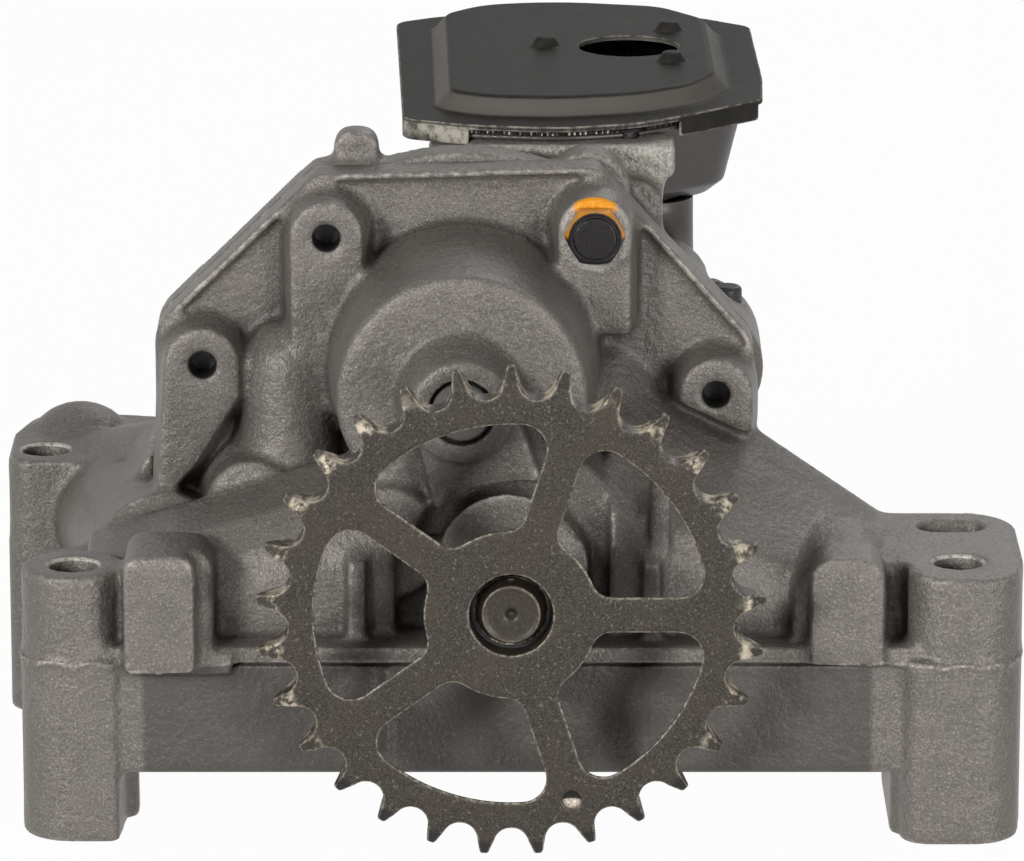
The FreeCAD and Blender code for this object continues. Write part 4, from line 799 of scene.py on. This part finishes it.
def pump_body():
    """The front casting, with the thin forms that rounding would take away added after it."""
    field = node_field("pump_body", cast_voxel, cast_margin)
    field.round_edges(cast_fillet, cast_edge)
    parting_fin(field)
    field.add(*ring_y(shaft_x, shaft_z, drive_shoulder_bore, drive_shoulder_radius,
                      drive_boss_front + 0.6, drive_boss_front + 9.0), 2.2)
    field.add(*rounded_box(right_rib_low, right_rib_high, 1.2), 1.6)
    groove_radius = drive_shoulder_radius + 2.4
    field.carve(*upper_groove(shaft_x, drive_boss_front + 1.5, shaft_z, groove_radius, 2.6), 1.5)
    for left, right in wall_ribs:
        low = (left, wall_front - 0.8, 12.0)
        high = (right, wall_front + 2.0, parting_height - 1.2)
        field.add(*rounded_box(low, high, 0.7), 0.8)
    field.add(*ball(boss_root, boss_root_radius), 7.0)
    low = (wall_left, wall_front - 1.5, parting_height - 0.75)
    high = (wall_right, wall_front + 1.0, parting_height)
    field.carve(*rounded_box(low, high, 0.1))
    for x, z in (bolt_a, bolt_b, bolt_c):
        field.carve(*cone_y(x, z, tapped_radius + 0.7, tapped_radius,
                            bolt_boss_front - 0.1, bolt_boss_front + 0.7))
    field.carve(*ring_y(idler_x, idler_z, pin_radius - 0.5, pin_radius + 0.75,
                        idler_boss_front - 1.0, idler_boss_front + pin_groove_depth))
    keep_inside(field, "pump_body")
    return piece_of("casting_front", field, 0.03, hollow_cells)


def rear_cover():
    field = node_field("rear_cover", cast_voxel, cast_margin)
    field.round_edges(cast_fillet, cast_edge)
    return piece_of("casting_rear", field, 0.03, hollow_cells)


# Sprocket
def draft_windows(field):
    """Slopes the walls of the windows, so that the openings widen towards the back."""
    low = sprocket_front + window_straight
    middle = int(np.searchsorted(field.axes[1], sprocket_front + sprocket_thickness / 2.0))
    flat = field.values[:, middle, :].copy()
    x = field.axes[0][:, None] - shaft_x
    z = field.axes[2][None, :] - shaft_z
    reach = np.hypot(x, z)
    flat[(reach < window_inner - 3.0) | (reach > window_outer + 2.1)] = -field.far
    for index, y in enumerate(field.axes[1]):
        if y > low:
            opened = (flat + (y - low) * math.tan(window_draft)) * math.cos(window_draft)
            field.values[:, index, :] = np.maximum(field.values[:, index, :], opened)


def bevel_teeth(field):
    """Thins the teeth towards their tips, on both faces."""
    x = field.axes[0][:, None, None] - shaft_x
    y = field.axes[1][None, :, None]
    z = field.axes[2][None, None, :] - shaft_z
    depth = bevel_slope * (np.hypot(x, z) - (tooth_tip - tooth_bevel))
    inward = np.minimum(y - sprocket_front, sprocket_front + sprocket_thickness - y)
    beyond = ((depth - inward) / math.hypot(1.0, bevel_slope)).astype(np.float32)
    field.values[:] = np.maximum(field.values, beyond)


def store_chain_wear_and_glint(mesh):
    """Marks where the chain rubs on the flanks of the teeth, and a painted highlight on their bevels beside
    the shaft.
    """
    places = point_values(mesh, "co") / MM
    normals = point_values(mesh, "normal")
    across = places[:, 0] - shaft_x
    up = places[:, 2] - shaft_z
    reach = np.hypot(across, up)
    flank = np.clip(reach - tooth_root, 0.0, 1.0) * np.clip(tooth_tip - 1.6 - reach, 0.0, 1.0)
    turning = (normals[:, 0] * up - normals[:, 2] * across) / np.maximum(reach, 1.0)
    drive_side = np.clip((np.abs(turning) - 0.25) / 0.3, 0.0, 1.0)
    steep = np.clip((0.9 - np.abs(normals[:, 1])) / 0.3, 0.0, 1.0)
    not_lowest = np.clip((up + 34.0) / 8.0, 0.0, 1.0)
    above_tip = np.clip((reach - tooth_tip + 4.4) / 0.6, 0.0, 1.0)
    below_tip = np.clip((tooth_tip - 0.9 - reach) / 0.6, 0.0, 1.0)
    beside = np.clip((np.abs(across) - 16.0) / 12.0, 0.0, 1.0) * np.clip((up + 30.0) / 8.0, 0.0, 1.0)
    on_flank = flank * drive_side * steep * not_lowest
    # Painted highlight on the tooth bevels at the sides.
    bevel_glint = 0.8 * above_tip * below_tip * beside
    store(mesh, "chain_wear_and_glint", np.maximum(on_flank, bevel_glint))


def chain_wheel():
    field = node_field("sprocket", sprocket_voxel, 1.5)
    draft_windows(field)
    bevel_teeth(field)
    field.carve(*cylinder_y(shaft_x, shaft_z, countersink_radius,
                            sprocket_front - 2.0, sprocket_front + countersink_depth))
    field.carve(*ball((mark_x, sprocket_front - 0.75, mark_z), 2.0))
    field.round_edges(0.15, 0.2)
    wheel = piece_of("chain_wheel", field, 0.01)
    store_chain_wear_and_glint(wheel.data)
    return wheel


def shaft_with_end():
    """The shaft's end: a long chamfer, a shallow recess in the face and a centre mark."""
    field = node_field("drive_shaft", sprocket_voxel, 1.5)
    chamfer_end = shaft_front + shaft_chamfer
    shape, low, high = cone_y(shaft_x, shaft_z, shaft_face_radius, shaft_radius, shaft_front, chamfer_end)
    field.trim(shape, (low[0], shaft_front - 1.0, low[2]), (high[0], chamfer_end - 0.3, high[2]))
    field.carve(*cylinder_y(shaft_x, shaft_z, shaft_face_radius - 0.55,
                            shaft_front - 1.0, shaft_front + 0.3, 0.1))
    field.carve(*ball((shaft_x, shaft_front - 0.3, shaft_z), 1.0))
    field.round_edges(0.1, 0.15)
    return piece_of("shaft_with_end", field, 0.01)


# Strainer lid, drawn as a height over the plane with the thickness of the sheet
def rounded(outline):
    """An outline of (x, y, radius) corners as short straight steps."""
    points = []
    count = len(outline)
    for index in range(count):
        corner = np.array(outline[index][:2])
        radius = outline[index][2]
        before = np.array(outline[index - 1][:2]) - corner
        after = np.array(outline[(index + 1) % count][:2]) - corner
        before /= np.linalg.norm(before)
        after /= np.linalg.norm(after)
        half = math.acos(float(np.dot(before, after))) / 2.0
        reach = radius / math.tan(half)
        way = before + after
        centre = corner + way / np.linalg.norm(way) * radius / math.sin(half)
        start = corner + before * reach - centre
        end = corner + after * reach - centre
        for step in range(7):
            between = start + (end - start) * step / 6.0
            points.append(tuple(centre + between / np.linalg.norm(between) * radius))
    return points


rim_outline = rounded([
    (-19.2, -1.5, 4.0), (-6.7, -7.1, 25.0), (10.8, -9.9, 25.0), (26.5, -5.7, 25.0), (36.5, 2.3, 20.0),
    (50.6, 15.3, 3.0), (51.2, 34.5, 20.0), (50.3, 82.5, 4.0), (40.0, 91.4, 10.0), (18.0, 95.0, 40.0),
    (4.0, 95.0, 40.0), (-13.0, 92.4, 14.0), (-21.8, 86.5, 4.5)])
dome_outline = rounded([
    (-13.2, 5.5, 8.0), (-4.5, -0.9, 22.0), (11.0, -2.1, 30.0), (27.0, 1.5, 30.0), (38.5, 10.0, 16.0),
    (44.6, 22.5, 10.0), (43.8, 75.0, 12.0), (34.0, 88.6, 14.0), (11.0, 94.0, 40.0), (-6.0, 90.4, 18.0),
    (-14.8, 80.0, 9.0)])


def smooth_share(value):
    """0 below 0, 1 above 1 and a smooth step between."""
    value = np.clip(value, 0.0, 1.0)
    return value * value * (3.0 - 2.0 * value)


def strainer_lid():
    low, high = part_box("strainer_cover")
    field = Field([v / MM - 1.5 for v in low], [v / MM + 1.5 for v in high], 0.3)
    x = field.axes[0][:, None]
    y = field.axes[1][None, :]
    z = field.axes[2][None, None, :]
    rim = polygon_distance(rim_outline, x, y)
    dome = polygon_distance(dome_outline, x, y)
    height = rim_top + dome_height * smooth_share((dome_spread - dome) / dome_slope)
    for degrees in bump_angles:
        angle = math.radians(degrees)
        bump_x = inlet_x + bump_circle * math.cos(angle)
        bump_y = inlet_y + bump_circle * math.sin(angle)
        rise = smooth_share((bump_radius - length2(x - bump_x, y - bump_y)) / bump_slope)
        height = height + bump_height * rise
    slope_x, slope_y = np.gradient(height, field.voxel)
    lean = np.sqrt(1.0 + slope_x ** 2 + slope_y ** 2)[:, :, None]
    half = sheet / 2.0
    edge = 0.35
    middle = height[:, :, None] - half * lean
    across = np.abs(z - middle) / lean - half + edge
    hole = inlet_radius - length2(x - inlet_x, y - inlet_y)
    side = np.maximum(rim, hole)[:, :, None] + edge
    field.values[:] = (length2(np.maximum(across, 0.0), np.maximum(side, 0.0))
                       + np.minimum(np.maximum(across, side), 0.0) - edge)
    round_edge = 0.45
    for left, right in tab_spans:
        skin = np.abs(rim[:, :, None] + half) - half + round_edge
        level = np.abs(z - rim_top + tab_height / 2.0) - tab_height / 2.0 + round_edge
        beside = np.maximum(left - x, x - right)[:, :, None]
        behind = (y - tab_back)[:, :, None]
        span = np.maximum(beside, behind) + round_edge
        out = np.sqrt(np.maximum(skin, 0.0) ** 2 + np.maximum(level, 0.0) ** 2 + np.maximum(span, 0.0) ** 2)
        tab = out + np.minimum(np.maximum(np.maximum(skin, level), span), 0.0) - round_edge
        field.values[:] = np.minimum(field.values, tab)
    return piece_of("strainer_lid", field, 0.0)


def strainer_pan():
    field = node_field("strainer_bowl", 0.3, 1.5)
    field.round_edges(1.4, 0.45)
    return piece_of("strainer_pan", field, 0.01)


# Bolt
def hex_bolt():
    """The bolt, with a groove around the middle of its head."""
    field = node_field("front_bolt", 0.16, 1.5)
    front = front_of("front_bolt")
    field.round_edges(0.12, 0.2)
    field.carve(*ring_y(bolt_d[0], bolt_d[1], 4.0, 4.6, front - 1.0, front + 0.5))
    return piece_of("hex_bolt", field, 0.01)


dress_nodes()
makers = {
    "pump_body": pump_body,
    "rear_cover": rear_cover,
    "sprocket": chain_wheel,
    "strainer_cover": strainer_lid,
    "strainer_bowl": strainer_pan,
    "front_bolt": hex_bolt,
    "drive_shaft": shaft_with_end,
}
for node, make in makers.items():
    stand_for(make(), node)


# Floor, light and camera
def backdrop_rays(nodes, links):
    """1 for the rays that show the white backdrop, 0 for the rays that light the object."""
    seen = nodes.new("ShaderNodeLightPath")
    share = seen.outputs["Is Camera Ray"]
    for kind in ("Is Glossy Ray", "Is Transmission Ray"):
        joined = nodes.new("ShaderNodeMath")
        joined.operation = "MAXIMUM"
        links.new(share, joined.inputs[0])
        links.new(seen.outputs[kind], joined.inputs[1])
        share = joined.outputs["Value"]
    return share


def plain_floor():
    """A floor that takes shadows and looks almost white."""
    bpy.ops.mesh.primitive_plane_add(size=8.0, location=(0.0, 0.0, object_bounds()[0][2] - 0.0001))
    floor = bpy.context.object
    floor.name = "floor"
    material = bpy.data.materials.new("pale_floor")
    material.use_nodes = True
    nodes = material.node_tree.nodes
    links = material.node_tree.links
    shader = nodes["Principled BSDF"]
    shader.inputs["Base Color"].default_value = (0.8, 0.8, 0.8, 1.0)
    shader.inputs["Roughness"].default_value = 0.9
    white = nodes.new("ShaderNodeEmission")
    white.inputs["Strength"].default_value = 1.0
    share = nodes.new("ShaderNodeMath")
    share.operation = "MULTIPLY"
    share.inputs[1].default_value = 0.97
    mixed = nodes.new("ShaderNodeMixShader")
    links.new(backdrop_rays(nodes, links), share.inputs[0])
    links.new(share.outputs["Value"], mixed.inputs["Fac"])
    links.new(shader.outputs["BSDF"], mixed.inputs[1])
    links.new(white.outputs["Emission"], mixed.inputs[2])
    links.new(mixed.outputs["Shader"], nodes["Material Output"].inputs["Surface"])
    floor.data.materials.append(material)


def studio_world():
    """Dim even light on the object, with a white background."""
    world = bpy.data.worlds.new("studio")
    world.use_nodes = True
    nodes = world.node_tree.nodes
    links = world.node_tree.links
    plain = nodes["Background"]
    plain.inputs["Color"].default_value = (1.0, 1.0, 1.0, 1.0)
    plain.inputs["Strength"].default_value = 0.12
    bright = nodes.new("ShaderNodeBackground")
    bright.inputs["Strength"].default_value = 1.0
    mixed = nodes.new("ShaderNodeMixShader")
    links.new(backdrop_rays(nodes, links), mixed.inputs["Fac"])
    links.new(plain.outputs["Background"], mixed.inputs[1])
    links.new(bright.outputs["Background"], mixed.inputs[2])
    links.new(mixed.outputs["Shader"], nodes["World Output"].inputs["Surface"])
    bpy.context.scene.world = world


def lamp(name, place, aim, size, power):
    light = bpy.data.lights.new(name, "AREA")
    light.shape = "DISK"
    light.size = size
    light.energy = power
    holder = bpy.data.objects.new(name, light)
    holder.location = place
    holder.rotation_euler = (Vector(aim) - Vector(place)).to_track_quat("-Z", "Y").to_euler()
    bpy.context.scene.collection.objects.link(holder)


def camera():
    """The photograph's viewing angle: from the front, 15.4 degrees above the level."""
    data = bpy.data.cameras.new("camera")
    data.lens = 246.1
    data.sensor_width = 36.0
    data.clip_end = 20.0
    holder = bpy.data.objects.new("camera", data)
    holder.location = (0.00185, -1.3143, 0.4208)
    holder.rotation_euler = (math.radians(74.6), 0.0, 0.0)
    bpy.context.scene.collection.objects.link(holder)
    bpy.context.scene.camera = holder


plain_floor()
studio_world()
lamp("key", (-0.8, -1.2, 0.5), (0.0, 0.0, 0.05), 0.3, 15.5)
lamp("fill", (0.75, -1.2, 0.2), (0.0, 0.0, 0.05), 0.4, 8.5)
lamp("back", (0.3, 0.9, 0.8), (0.0, 0.0, 0.05), 0.5, 2.2)
camera()
bpy.context.scene.view_settings.view_transform = "Standard"
